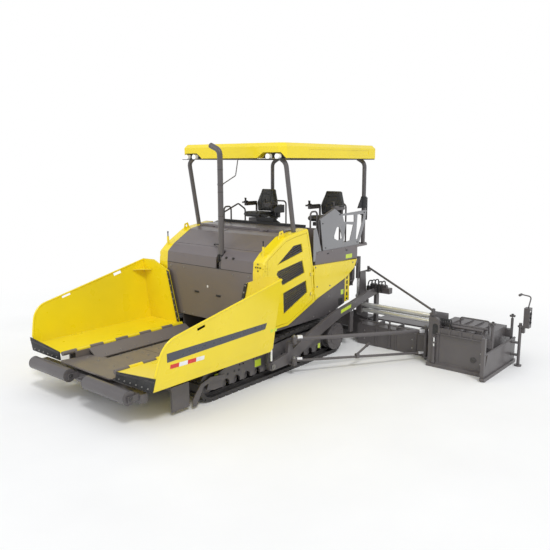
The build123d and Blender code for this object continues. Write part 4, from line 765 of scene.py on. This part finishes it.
# Blank plates: X from and to, Z from and to, Y of the face behind
LIME_PLATES = [(-1.505, -1.716, 1.728, 1.805, SKIRT_Y), (-1.358, -1.443, 1.062, 1.153, SKIRT_Y),
               (0.953, 1.1, 0.267, 0.381, TRACK_GUARD_Y), (1.933, 2.003, 0.316, 0.384, TRACK_GUARD_Y),
               (-0.617, -0.683, 0.188, 0.275, TRACK_GUARD_Y)]
ARM_PLATE = [(-1.085, 0.772), (-1.42, 0.828), (-1.428, 0.892), (-1.093, 0.838)]
STRAP = [(-1.508, 0.89), (-1.672, 0.905), (-1.672, 1.7), (-1.508, 1.7)]
STRAP_SLOTS = [(0.945, 0.022)] + [(z, 0.036) for z in (1.04, 1.16, 1.26, 1.36, 1.48, 1.6)]
CHEEK_FRONT, CHEEK_REAR = -1.49, -2.01
CHEEK_Z, CHEEK_TOP = 1.14, 1.69  # with the screed raised, the guide tubes pass below the lower edge
CHEEK_RIBS_X, CHEEK_RIB_Y = (-1.735, -1.87), (1.111, 1.16)
CORNER = [(-0.478, 2.352), (-0.57, 2.372), (-0.722, 1.954), (-0.56, 1.951), (-0.53, 1.79),
          (-0.478, 1.79)]
PORT = [(-1.281, 0.862), (-1.42, 0.868), (-1.42, 0.992), (-1.281, 0.998)]
PANEL_BOLTS = ((-0.557, 1.337), (-0.504, 1.69), (-1.7, 1.64), (-0.95, 1.3))
SKIRT_BOLTS = ((-0.963, 1.103), (-0.498, 0.792), (-1.44, 1.26), (-1.0, 0.8))
MARKER_X, MARKER_Y, MARKER_Z = 0.777, 1.16, 2.18  # Z where the post ends and its tip begins
ARCH_X, ARCH_Y, ARCH_Z = 0.9052, 1.154, 1.854  # middle screw of the arch


def side_plates():
    for n, (x0, x1, z0, z1, y) in enumerate(LIME_PLATES):
        Piece().plate(rect(x0, x1, z0, z1), "xz", y, y + 0.0015).pair(f"lime_plate_{n}", "lime_film")
    plate = Piece().plate(ARM_PLATE, "xz", TOW_ARM_Y, TOW_ARM_Y + 0.0015)
    plate.pair("lime_arm_plate", "lime_film", "screed")


def side_fittings():
    strap = Piece().plate(STRAP, "xz", 1.198, 1.21)
    strap.pair("slotted_strap", "lemon_yellow", slot="lemon_yellow", bevel=0.002)
    # Thin dark plates on the strap paint the shade seen in its slots
    slots = Piece()
    for z, tall in STRAP_SLOTS:
        slots.plate(rect(-1.567, -1.613, z - tall, z + tall), "xz", 1.2095, 1.2108)
    slots.pair("strap_slot_shade", "rubber")
    cheek = Piece().plate([(CHEEK_FRONT, CHEEK_Z), (-1.93, CHEEK_Z), (CHEEK_REAR, CHEEK_Z + 0.12),
                           (CHEEK_REAR, CHEEK_TOP), (CHEEK_FRONT, CHEEK_TOP)], "xz", 1.09, 1.112)
    for x in CHEEK_RIBS_X:
        cheek.box(x - 0.008, x + 0.008, *CHEEK_RIB_Y, CHEEK_Z + 0.01, CHEEK_TOP)
    cheek.box(-1.878, -1.727, *CHEEK_RIB_Y, CHEEK_Z + 0.1, CHEEK_Z + 0.116)
    cheek.pair("rear_cheek", "charcoal", slot="charcoal", bevel=0.003)
    corner = Piece().plate(CORNER, "xz", 1.2215, 1.2335)
    corner.pair("rear_corner", "light_grey", slot="light_grey", bevel=0.002)
    # A thin dark plate on the skirt paints the shade in the side port
    Piece().plate(PORT, "xz", SKIRT_Y, SKIRT_Y + 0.0015).pair("side_port_shade", "rubber", bevel=0.0008)
    bolts = Piece().side_bolts(PANEL_BOLTS, PANEL_Y, 0.013).side_bolts(SKIRT_BOLTS, SKIRT_Y, 0.013)
    bolts.side_bolts([(x, 1.925) for x in (-0.6, -1.05, -1.5, -1.86)], SKIRT_Y, 0.011)
    bolts.pair("side_bolts", "zinc_bolts")
    latch = Piece().box(0.66, 0.745, PANEL_Y, PANEL_Y + 0.008, 1.395, 1.445)
    latch.tube([(0.672, 1.266, 1.408), (0.69, 1.286, 1.412), (0.735, 1.286, 1.428)], 0.006, 8, 0.012)
    latch.pair("door_latch", "black_plastic", "side_door_SIDE", soft=0.002)
    bolts = Piece().side_bolts([(-0.352, z) for z in (1.225, 1.255, 1.575, 1.605)], 1.267, 0.009)
    bolts.pair("hinge_bolts", "zinc_bolts", "side_door_SIDE")
    latches = Piece()
    for x in (-0.9, -1.5):
        latches.box(x - 0.05, x, SKIRT_Y, 1.237, 1.88, 1.897)
    latches.pair("side_hatch_latches", "black_plastic", bevel=0.001)
    post = Piece().post(MARKER_X, MARKER_Y, 2.002, MARKER_Z, 0.0205, 20)
    post.pair("marker_posts", "lemon_yellow", slot="lemon_yellow", soft=0.002)
    tips = Piece().post(MARKER_X, MARKER_Y, MARKER_Z, 2.268, 0.0095)
    tips.post(MARKER_X, MARKER_Y, 2.24, 2.272, 0.0125)
    tips.pair("marker_tips", "rubber", soft=0.003)


def arch_fittings():
    """Five socket screws at the front corner of the left arch."""
    screws = Piece()
    for dy, dz in ((0.0, 0.0), (0.048, 0.0), (-0.048, 0.0), (0.0, 0.055), (0.0, -0.055)):
        y, z = ARCH_Y + dy, ARCH_Z + dz
        screws.rod((ARCH_X, y, z), (ARCH_X + 0.002, y, z), 0.0135, 18)
    screws.make("arch_screws", "rubber")


# Tracks, tow points and braces
DRIVE_X, DRIVE_Y, DRIVE_Z = -1.04, 1.345, 0.345
DRIVE_BOLTS, DRIVE_RING = 14, 0.215
GUARD_PORTS = ((1.804, 0.327), (1.719, 0.321), (1.573, 0.331), (1.471, 0.322),
               (0.42, 0.325), (0.33, 0.325), (-0.2, 0.325), (-0.29, 0.325))
TOW_X, TOW_Z = 0.86, 0.25
BRACE = "brace_SIDE"
BRACE_X, BRACE_Y = 0.4, 1.502  # pin beside the track
STAY_X, STAY_Y = -1.8, 2.78  # the brace's other end, on the extension
BRACE_TUBES = ((0.659, 0.53, 0.0335), (0.289, 0.13, 0.0235))  # Z at the pin and on the extension, radius
CLAMP_ALONG = 1.176


def running_gear():
    """Drive covers, and thin dark discs that paint the shade in the round ports of the track guards."""
    cover = Piece().disc(DRIVE_X, DRIVE_Y, DRIVE_Y + 0.01, DRIVE_Z, 0.155, 48)
    cover.disc(DRIVE_X, DRIVE_Y + 0.01, DRIVE_Y + 0.016, DRIVE_Z, 0.06, 32)
    ring = arc(DRIVE_X, DRIVE_Z, DRIVE_RING, TURN, DRIVE_BOLTS)
    cover.side_bolts(ring[:-1], DRIVE_Y, 0.013)
    cover.pair("drive_cover", "charcoal", bevel=0.0015)
    # Thin dark discs paint the shade inside the round ports
    ports = Piece()
    for x, z in GUARD_PORTS:
        ports.disc(x, TRACK_GUARD_Y, TRACK_GUARD_Y + 0.0012, z, 0.021, 24)
    ports.pair("guard_port_shade", "rubber")


def tow_fittings():
    Piece().post(TOW_X, 1.392, 0.345, 0.5595, 0.0206, 24).pair("levelling_rods", "chrome", smooth=True)
    cap = Piece().disc(TOW_X, 1.442, 1.448, TOW_Z, 0.046, 24).bolt((TOW_X, 1.448, TOW_Z), OUT, 0.02)
    cap.pair("tow_pin_cap", "zinc_bolts", bevel=0.001)
    nuts = Piece()
    for z in (0.667, 0.297):
        nuts.post(BRACE_X, BRACE_Y, z, z + 0.01, 0.034, 20).bolt((BRACE_X, BRACE_Y, z + 0.01), UP, 0.024)
    nuts.pair("brace_pins", "zinc_bolts", BRACE, bevel=0.001)
    ends = Piece()
    for pin_z, far_z, radius in BRACE_TUBES:
        near, far = Vector((BRACE_X, BRACE_Y, pin_z)), Vector((STAY_X, STAY_Y, far_z))
        along = (far - near).normalized()
        ends.rod(near + along * 0.05, near + along * 0.14, radius, 24)
        ends.rod(far - along * 0.15, far - along * 0.045, radius, 24)
    ends.pair("brace_ends", "white_film", BRACE, soft=0.001)
    at = near + along * CLAMP_ALONG  # on the lower tube, the last one above
    clamp = Piece().rod(at - along * 0.03, at + along * 0.03, 0.046, 24)
    clamp.rod(at + Vector((0.0, 0.0, 0.03)), at + Vector((-0.33, 0.03, 0.15)), 0.02)
    clamp.rod(at + Vector((-0.25, 0.023, 0.121)), at + Vector((-0.345, 0.031, 0.155)), 0.027)
    clamp.pair("brace_clamp", "charcoal", BRACE, soft=0.0015)


# Screed
VALVES_Y = [1.285 + 0.075 * n for n in range(5)]
VALVE_X, VALVE_Z = -2.385, 1.12
EXTENSION = "extension_SIDE"
RAIL_X = -1.912  # rail and posts ahead of the extension's inner part
RAM_X, RAM_Y = -1.504, 3.08
HOUSING_X = -1.5352
HEATER_Y, HEATER_Z = 3.775, 0.249
COIL_X, COIL_Z, COIL_R = -1.64, 0.8, 0.052
COIL_FROM, COIL_LONG, COIL_TURNS, COIL_STEPS = 3.06, 0.26, 8, 96
GATE_Y = 4.018
CONTROL_X = -2.53


def screed_fittings():
    """Valve blocks with their fixed pipes, and the bolts of the towers."""
    block = Piece()
    block.box(-2.47, -2.345, 1.215, 1.7, 0.965, 1.075)
    block.box(-2.44, -2.37, 1.25, 1.62, 1.075, VALVE_Z)
    block.box(-2.4, -2.33, 1.19, 1.222, 0.88, 1.08)
    for y in VALVES_Y:
        for x in (VALVE_X, VALVE_X - 0.04):
            block.post(x, y, VALVE_Z, VALVE_Z + 0.012, 0.02)
    block.pair("valve_block", "charcoal", "screed", soft=0.003)
    lines = Piece()
    for n, y in enumerate(VALVES_Y):
        lift = 1.195 + 0.018 * (n % 3)
        lines.tube([(VALVE_X, y, VALVE_Z + 0.01), (VALVE_X, y, lift), (-2.3, y - 0.02, lift),
                    (-2.3, y - 0.05, 1.045), (-2.345, y - 0.06, 0.985)], 0.0125, 10, 0.045)
    lines.pair("valve_lines", "rubber", "screed", smooth=True)
    corners = ((-2.03, 0.62), (-2.23, 0.62), (-2.03, 0.8), (-2.23, 0.8), (-2.13, 0.71))
    bolts = Piece().side_bolts(corners, 1.29, 0.014)
    bolts.side_bolts([(-2.39, z) for z in (0.34, 0.42, 0.58, 0.94)], TOW_ARM_Y, 0.016)
    bolts.pair("tower_bolts", "zinc_bolts", "screed")


def extension_rails():
    rails = Piece().rod((-1.532, 3.1, 0.6), (-1.532, 3.9, 0.6), 0.011, 10)
    for y in (3.12, 3.5, 3.88):
        rails.rod((-1.552, y, 0.6), (-1.532, y, 0.6), 0.007, 8)
    grip = [(-1.9, 3.37, 0.66), (-1.9, 3.37, 0.862), (-1.9, 3.88, 0.862), (-1.9, 3.88, 0.66)]
    rails.tube(grip, 0.013, 12, 0.04)
    rails.rod((RAIL_X, 1.3, 0.495), (RAIL_X, 2.594, 0.459), 0.0115, 10)
    for y in (1.34, 1.95, 2.55):
        z = 0.492 - (y - 1.3) * 0.0278
        rails.rod((RAIL_X - 0.02, y, z), (RAIL_X, y, z), 0.008, 8)
    for y, top in ((1.34, 0.5), (1.95, 0.485), (2.55, 0.47)):
        rails.box(-1.934, -1.926, y - 0.02, y + 0.02, 0.395, top)
    rails.pair("extension_rails", "charcoal", EXTENSION, soft=0.001)
    posts = Piece()
    for y, z0, z1 in ((1.98, 0.03, 0.55), (2.7, 0.05, 0.43)):
        posts.post(RAIL_X, y, z0, z1, 0.016, 14)
        for z in (z0, z1 * 0.6):
            posts.box(-1.935, -1.9, y - 0.022, y + 0.022, z, z + 0.03)
        posts.post(RAIL_X, y, z1 - 0.015, z1 - 0.005, 0.026, 14)
    posts.pair("extension_posts", "charcoal", EXTENSION, soft=0.001)


def bulkhead_fittings():
    """The small ram, the housing with a thin dark plate that paints the shade in its opening, the heater port
    and the coiled pipe.
    """
    ram = Piece().post(RAM_X, RAM_Y, 0.1, 0.36, 0.025, 20).post(RAM_X, RAM_Y, 0.36, 0.375, 0.029, 20)
    for z0, z1 in ((0.08, 0.115), (0.425, 0.455), (0.535, 0.56)):
        ram.box(-1.537, -1.48, RAM_Y - 0.03, RAM_Y + 0.03, z0, z1)
    ram.pair("crown_ram", "charcoal", EXTENSION, soft=0.002)
    Piece().post(RAM_X, RAM_Y, 0.374, 0.537, 0.015, 20).pair("crown_rod", "chrome", EXTENSION, smooth=True)
    arch = [(3.03, 0.58), (3.13, 0.58)] + arc(3.08, 0.72, 0.05, math.pi, 10)
    # A thin dark arch on the housing's face paints the shade in its opening
    Piece().plate(arch, "yz", HOUSING_X, HOUSING_X + 0.0012).pair("crown_opening_shade", "rubber", EXTENSION)
    outline = [(2.958, 0.035), (3.155, 0.035)] + arc(3.065, 0.78, 0.09, math.pi / 2, 6) + [(2.958, 0.87)]
    Piece().plate(outline, "yz", -1.615, HOUSING_X).pair("crown_housing", "charcoal", EXTENSION, bevel=0.004)
    port = Piece().rod((-1.5505, HEATER_Y, HEATER_Z), (-1.543, HEATER_Y, HEATER_Z), 0.052, 32)
    port.rod((-1.543, HEATER_Y, HEATER_Z), (-1.54, HEATER_Y, HEATER_Z), 0.03, 32)
    port.pair("heater_port", "dark_steel", EXTENSION, soft=0.0015)
    turns = arc(COIL_X, COIL_Z, COIL_R, TURN * COIL_TURNS, COIL_STEPS)
    coil = [(x, COIL_FROM + COIL_LONG * n / COIL_STEPS, z) for n, (x, z) in enumerate(turns)]
    line = Piece().tube([(COIL_X, 3.0, 0.72)] + coil + [(COIL_X, 3.345, 0.7)], 0.0085, 8)
    line.pair("coiled_line", "rubber", EXTENSION, smooth=True)
    bolts = Piece().bolts([(-1.55, y, z) for y in (3.02, 3.9) for z in (0.2, 0.38)], AHEAD, 0.013)
    bolts.bolt((STAY_X, STAY_Y, 0.617), UP, 0.016).bolt((STAY_X, STAY_Y, 0.02), DOWN, 0.016)
    bolts.bolts([(-1.93, y, z) for z in (0.12, 0.28) for y in (1.42, 2.45)], AHEAD, 0.013)
    bolts.pair("extension_bolts", "zinc_bolts", EXTENSION)


def gate_fittings():
    """Handwheels of the jack screws, and knobs and screen of the control box."""
    knobs = Piece()
    for x, z in ((-1.7, 0.905), (-2.61, 0.87)):
        knobs.post(x, GATE_Y, z, z + 0.016, 0.02, 6)
        knobs.post(x, GATE_Y, z - 0.034, z - 0.028, 0.049, 24)
        inner, outer = (arc(x, GATE_Y, radius, TURN, 6) for radius in (0.03, 0.05))
        for a, b in zip(inner[:6], outer):
            knobs.rod((*a, z - 0.036), (*b, z - 0.01), 0.006, 8)
    knobs.pair("jack_knobs", "dark_steel", EXTENSION, bevel=0.001)
    knobs = Piece()
    for n in range(3):
        z = 0.8 + 0.075 * n
        knobs.disc(CONTROL_X, 4.335, 4.362, z, 0.017, 20).disc(CONTROL_X, 4.362, 4.368, z, 0.012, 20)
    for x in (CONTROL_X - 0.032, CONTROL_X + 0.032):
        for z in (0.785, 0.87, 0.955):
            knobs.disc(x, 4.334, 4.346, z, 0.009, 14)
    knobs.pair("control_knobs", "black_plastic", EXTENSION, soft=0.0015)
    # The screen is lamp glass, with its painted reflection and faint painted glow
    screen = Piece().box(CONTROL_X - 0.04, CONTROL_X + 0.04, 4.3345, 4.339, 0.975, 1.0)
    screen.pair("control_screen", "lamp_glass", EXTENSION, bevel=0.0008)


# Operator's stand
# Dark strips under the roof's edges, painted shade under its rim: X from and to, Y from and to
ROOF_RIM_SHADE_STRIPS = ((-2.465, 0.245, 1.19, 1.219), (-2.465, 0.245, -1.219, -1.19),
               (-2.578, -2.545, -1.1, 1.1), (0.322, 0.352, -0.64, 0.64))
LAMP_BRACKET = [(0.69, 3.5805), (0.792, 3.668), (1.15, 3.668), (1.196, 3.5805)]
FOLDED_ROD_PLATE = [(-2.16, 2.64), (-1.985, 2.64), (-2.03, 2.72), (-2.12, 2.85), (-2.16, 2.85)]
FLANGE_Z, FOOT_Z = 3.5705, 1.962
CONSOLE = [(-1.72, 2.5), (-1.4, 2.5), (-1.36, 2.545), (-1.38, 2.615), (-1.47, 2.65),
           (-1.72, 2.66)]
DESK_SLOPE = Vector((-0.447, 0.0, 0.894))
DIALS = ((-0.11, 0.036), (0.0, 0.044), (0.11, 0.036))  # Y and radius
DIAL_X, DIAL_Z = -0.655, 2.4725
SWITCH_X, SWITCH_Z = -0.735, 2.4325
MAT_Z = 1.956


def canopy_fittings():
    # Dark strips along the roof's underside edges paint the shade under the rim
    rim_shade = Piece()
    for x0, x1, y0, y1 in ROOF_RIM_SHADE_STRIPS:
        rim_shade.box(x0, x1, y0, y1, 3.562, ROOF_Z)
    rim_shade.make("canopy_rim_shade", "rubber", bevel=0.002)
    flanges = Piece()
    for x, y in ((0.225, 1.072), (REAR_POST_X, 1.043)):
        flanges.box(x - 0.075, x + 0.075, y - 0.055, y + 0.055, FLANGE_Z, FLANGE_Z + 0.009)
        corners = [(x + dx, y + dy, FLANGE_Z) for dx in (-0.058, 0.058) for dy in (-0.04, 0.04)]
        flanges.bolts(corners, DOWN, 0.01)
    flanges.pair("post_flanges", "charcoal", bevel=0.001)
    bracket = Piece().plate(LAMP_BRACKET, "yz", 0.2525, 0.2565)
    bracket.box(0.255, 0.352, 0.7, 1.19, 3.56, 3.57)
    bracket.pair("lamp_bracket", "black_plastic", bevel=0.001)
    x, y = REAR_POST_X, POST_Y
    foot = Piece().box(x - 0.055, x + 0.055, y - 0.055, y + 0.055, 1.9505, FOOT_Z)
    foot.bolts([(*p, FOOT_Z) for p in rect(x - 0.042, x + 0.042, y - 0.042, y + 0.042)], UP, 0.01)
    foot.pair("post_feet", "charcoal", bevel=0.001)
    bar = Piece().post(-2.262, 1.19, 2.405, 2.84, 0.016)
    for z in (2.5, 2.66, 2.81):
        bar.box(-2.27, -2.16, 1.112, 1.206, z, z + 0.022)
    bar.post(x, y, 2.64, 2.86, 0.056, 28).plate(FOLDED_ROD_PLATE, "xz", 1.15, 1.17)
    bar.pair("folded_rod", "black_plastic", soft=0.002)


def seat_fittings():
    """Joysticks, arm pads and the right seat's console."""
    grips = Piece()
    for y in (1.085, 0.555):
        grips.tube([(-1.262, y, 2.716), (-1.258, y, 2.745), (-1.25, y, 2.775)], 0.017, 14, 0.02)
        grips.rod((-1.25, y, 2.772), (-1.246, y, 2.798), 0.022, 14)
        grips.prism([(*p, 2.719) for p in rect(-1.315, -1.215, y - 0.04, y + 0.04)],
                    [(*p, 2.742) for p in rect(-1.285, -1.24, y - 0.022, y + 0.022)])
    grips.pair("joysticks", "rubber", soft=0.004)
    pads = Piece()
    for y in (1.096, 0.544):
        pads.box(-1.595, -1.3, y - 0.034, y + 0.034, 2.6905, 2.722)
    pads.pair("arm_pads", "black_vinyl", soft=0.014)
    panel = Piece().plate(CONSOLE, "xz", 0.43, 0.505)
    panel.box(-1.6, -1.5, 0.44, 0.6, 2.405, 2.43)
    panel.box(-1.6, -1.5, 0.44, 0.49, 2.41, 2.505)
    panel.make("seat_console", "black_plastic", soft=0.01, side=-1)
    knobs = Piece()
    for n in range(4):
        knobs.post(-1.46 - 0.06 * n, 0.467, 2.645, 2.672, 0.013)
    knobs.make("console_knobs", "rubber", soft=0.002, side=-1)


def steering_fittings():
    rims, faces, switches = Piece(), Piece(), Piece()
    for y, radius in DIALS:
        at = Vector((DIAL_X, y, DIAL_Z))
        rims.rod(at - DESK_SLOPE * 0.003, at + DESK_SLOPE * 0.008, radius, 28)
        faces.rod(at + DESK_SLOPE * 0.006, at + DESK_SLOPE * 0.0095, radius - 0.007, 28)
    for n in range(6):
        at = Vector((SWITCH_X, -0.15 + 0.06 * n, SWITCH_Z))
        switches.rod(at - DESK_SLOPE * 0.002, at + DESK_SLOPE * 0.012, 0.011, 14)
    rims.make("dial_rims", "black_plastic", soft=0.002)
    # The dial faces are lamp glass, with its painted reflection and faint painted glow
    faces.make("dial_faces", "lamp_glass", smooth=True)
    switches.make("desk_switches", "zinc_bolts", soft=0.002)


def deck_fittings():
    mat = Piece().box(-2.18, -0.84, -0.5, 0.5, DECK_Z, MAT_Z)
    for n in range(22):
        x = -2.15 + 0.06 * n
        mat.box(x, x + 0.018, -0.48, 0.48, MAT_Z, MAT_Z + 0.003)
    mat.make("deck_mat", "rubber", bevel=0.001)
    handle = [(0.655, -0.06, 2.098), (0.69, -0.06, 2.118), (0.69, 0.06, 2.118), (0.655, 0.06, 2.098)]
    Piece().tube(handle, 0.008, 10, 0.02).make("hood_handle", "black_plastic", "hood", smooth=True)


def rear_fittings():
    lamps = Piece()
    for z in (1.6, 1.69):
        lamps.rod((REAR_WALL_X, 1.08, z), (-1.925, 1.08, z), 0.036, 24)
    lamps.pair("tail_lamps", "red_film", soft=0.003)
    plate = Piece().box(-1.904, REAR_WALL_X, -0.26, 0.26, 1.6, 1.71)
    plate.make("blank_rear_plate", "light_grey", bevel=0.0015)
    bolts = Piece().bolts([(REAR_WALL_X, y, z) for y in (0.35, 0.75, 1.18) for z in (1.56, 1.93)], BACK)
    bolts.pair("rear_bolts", "zinc_bolts")


# Light and floor
SKY, SKY_STRENGTH = (0.97, 0.985, 1.0), 0.72
SUNS = (("key", 1.15, 12, (38, 0, 150)), ("fill", 0.5, 40, (60, 0, 60)))  # strength, width and turn
FLOOR_HALF, FADE_FROM, FADE_TO = 60, 5.0, 9.0


def sky():
    """An even bright sky that the camera sees as white."""
    world = bpy.data.worlds.new("studio")
    tree = Tree(world)
    light = tree.add("ShaderNodeBackground", {0: SKY, 1: SKY_STRENGTH}).outputs[0]
    white = tree.add("ShaderNodeBackground", {0: (1, 1, 1), 1: 1.0}).outputs[0]
    seen = tree.add("ShaderNodeLightPath").outputs["Is Camera Ray"]
    mix = tree.add("ShaderNodeMixShader", {0: seen, 1: light, 2: white})
    tree.add("ShaderNodeOutputWorld", {0: mix.outputs[0]})
    bpy.context.scene.world = world


def suns():
    for name, strength, width, turn in SUNS:
        data = bpy.data.lights.new(name, "SUN")
        data.energy, data.angle = strength, math.radians(width)
        add_object(name, data).rotation_euler = [math.radians(a) for a in turn]


def studio_floor():
    """A pale floor that fades to white far from the machine."""
    mesh = bpy.data.meshes.new("floor")
    corners = rect(-FLOOR_HALF, FLOOR_HALF, -FLOOR_HALF, FLOOR_HALF)
    mesh.from_pydata([(x, y, 0) for x, y in corners], [], [(0, 1, 2, 3)])
    floor = add_object("floor", mesh)
    m = Nodes("pale_floor")
    m.color(m.mix(m.cloud(0.6, 3.0), (0.9, 0.9, 0.9), (0.94, 0.94, 0.94)))
    m.put("Roughness", 0.9)
    centre = m.add("ShaderNodeVectorMath", {0: m.place}, operation="LENGTH").outputs["Value"]
    seen = m.add("ShaderNodeLightPath").outputs["Is Camera Ray"]
    far = m.math("MULTIPLY", m.span(centre, FADE_FROM, FADE_TO, 0.0, 1.0), seen)
    white = m.add("ShaderNodeEmission").outputs[0]
    join = m.add("ShaderNodeMixShader", {0: far, 1: m.shader.outputs[0], 2: white})
    m.fill(m.out.inputs[0], join.outputs[0])
    mesh.materials.append(m.material)


camera()
dress_nodes()
wing_marks()
stack()
roof_posts()
deck_guard()
wing_trim()
front_wall_fittings()
nose_fittings()
conveyor_chains()
floor_bolts()
push_roller_ends()
side_plates()
side_fittings()
arch_fittings()
running_gear()
tow_fittings()
screed_fittings()
extension_rails()
bulkhead_fittings()
gate_fittings()
canopy_fittings()
seat_fittings()
steering_fittings()
deck_fittings()
rear_fittings()
seat_pads()
sky()
suns()
studio_floor()
scene = bpy.context.scene
scene.view_settings.view_transform = "Standard"
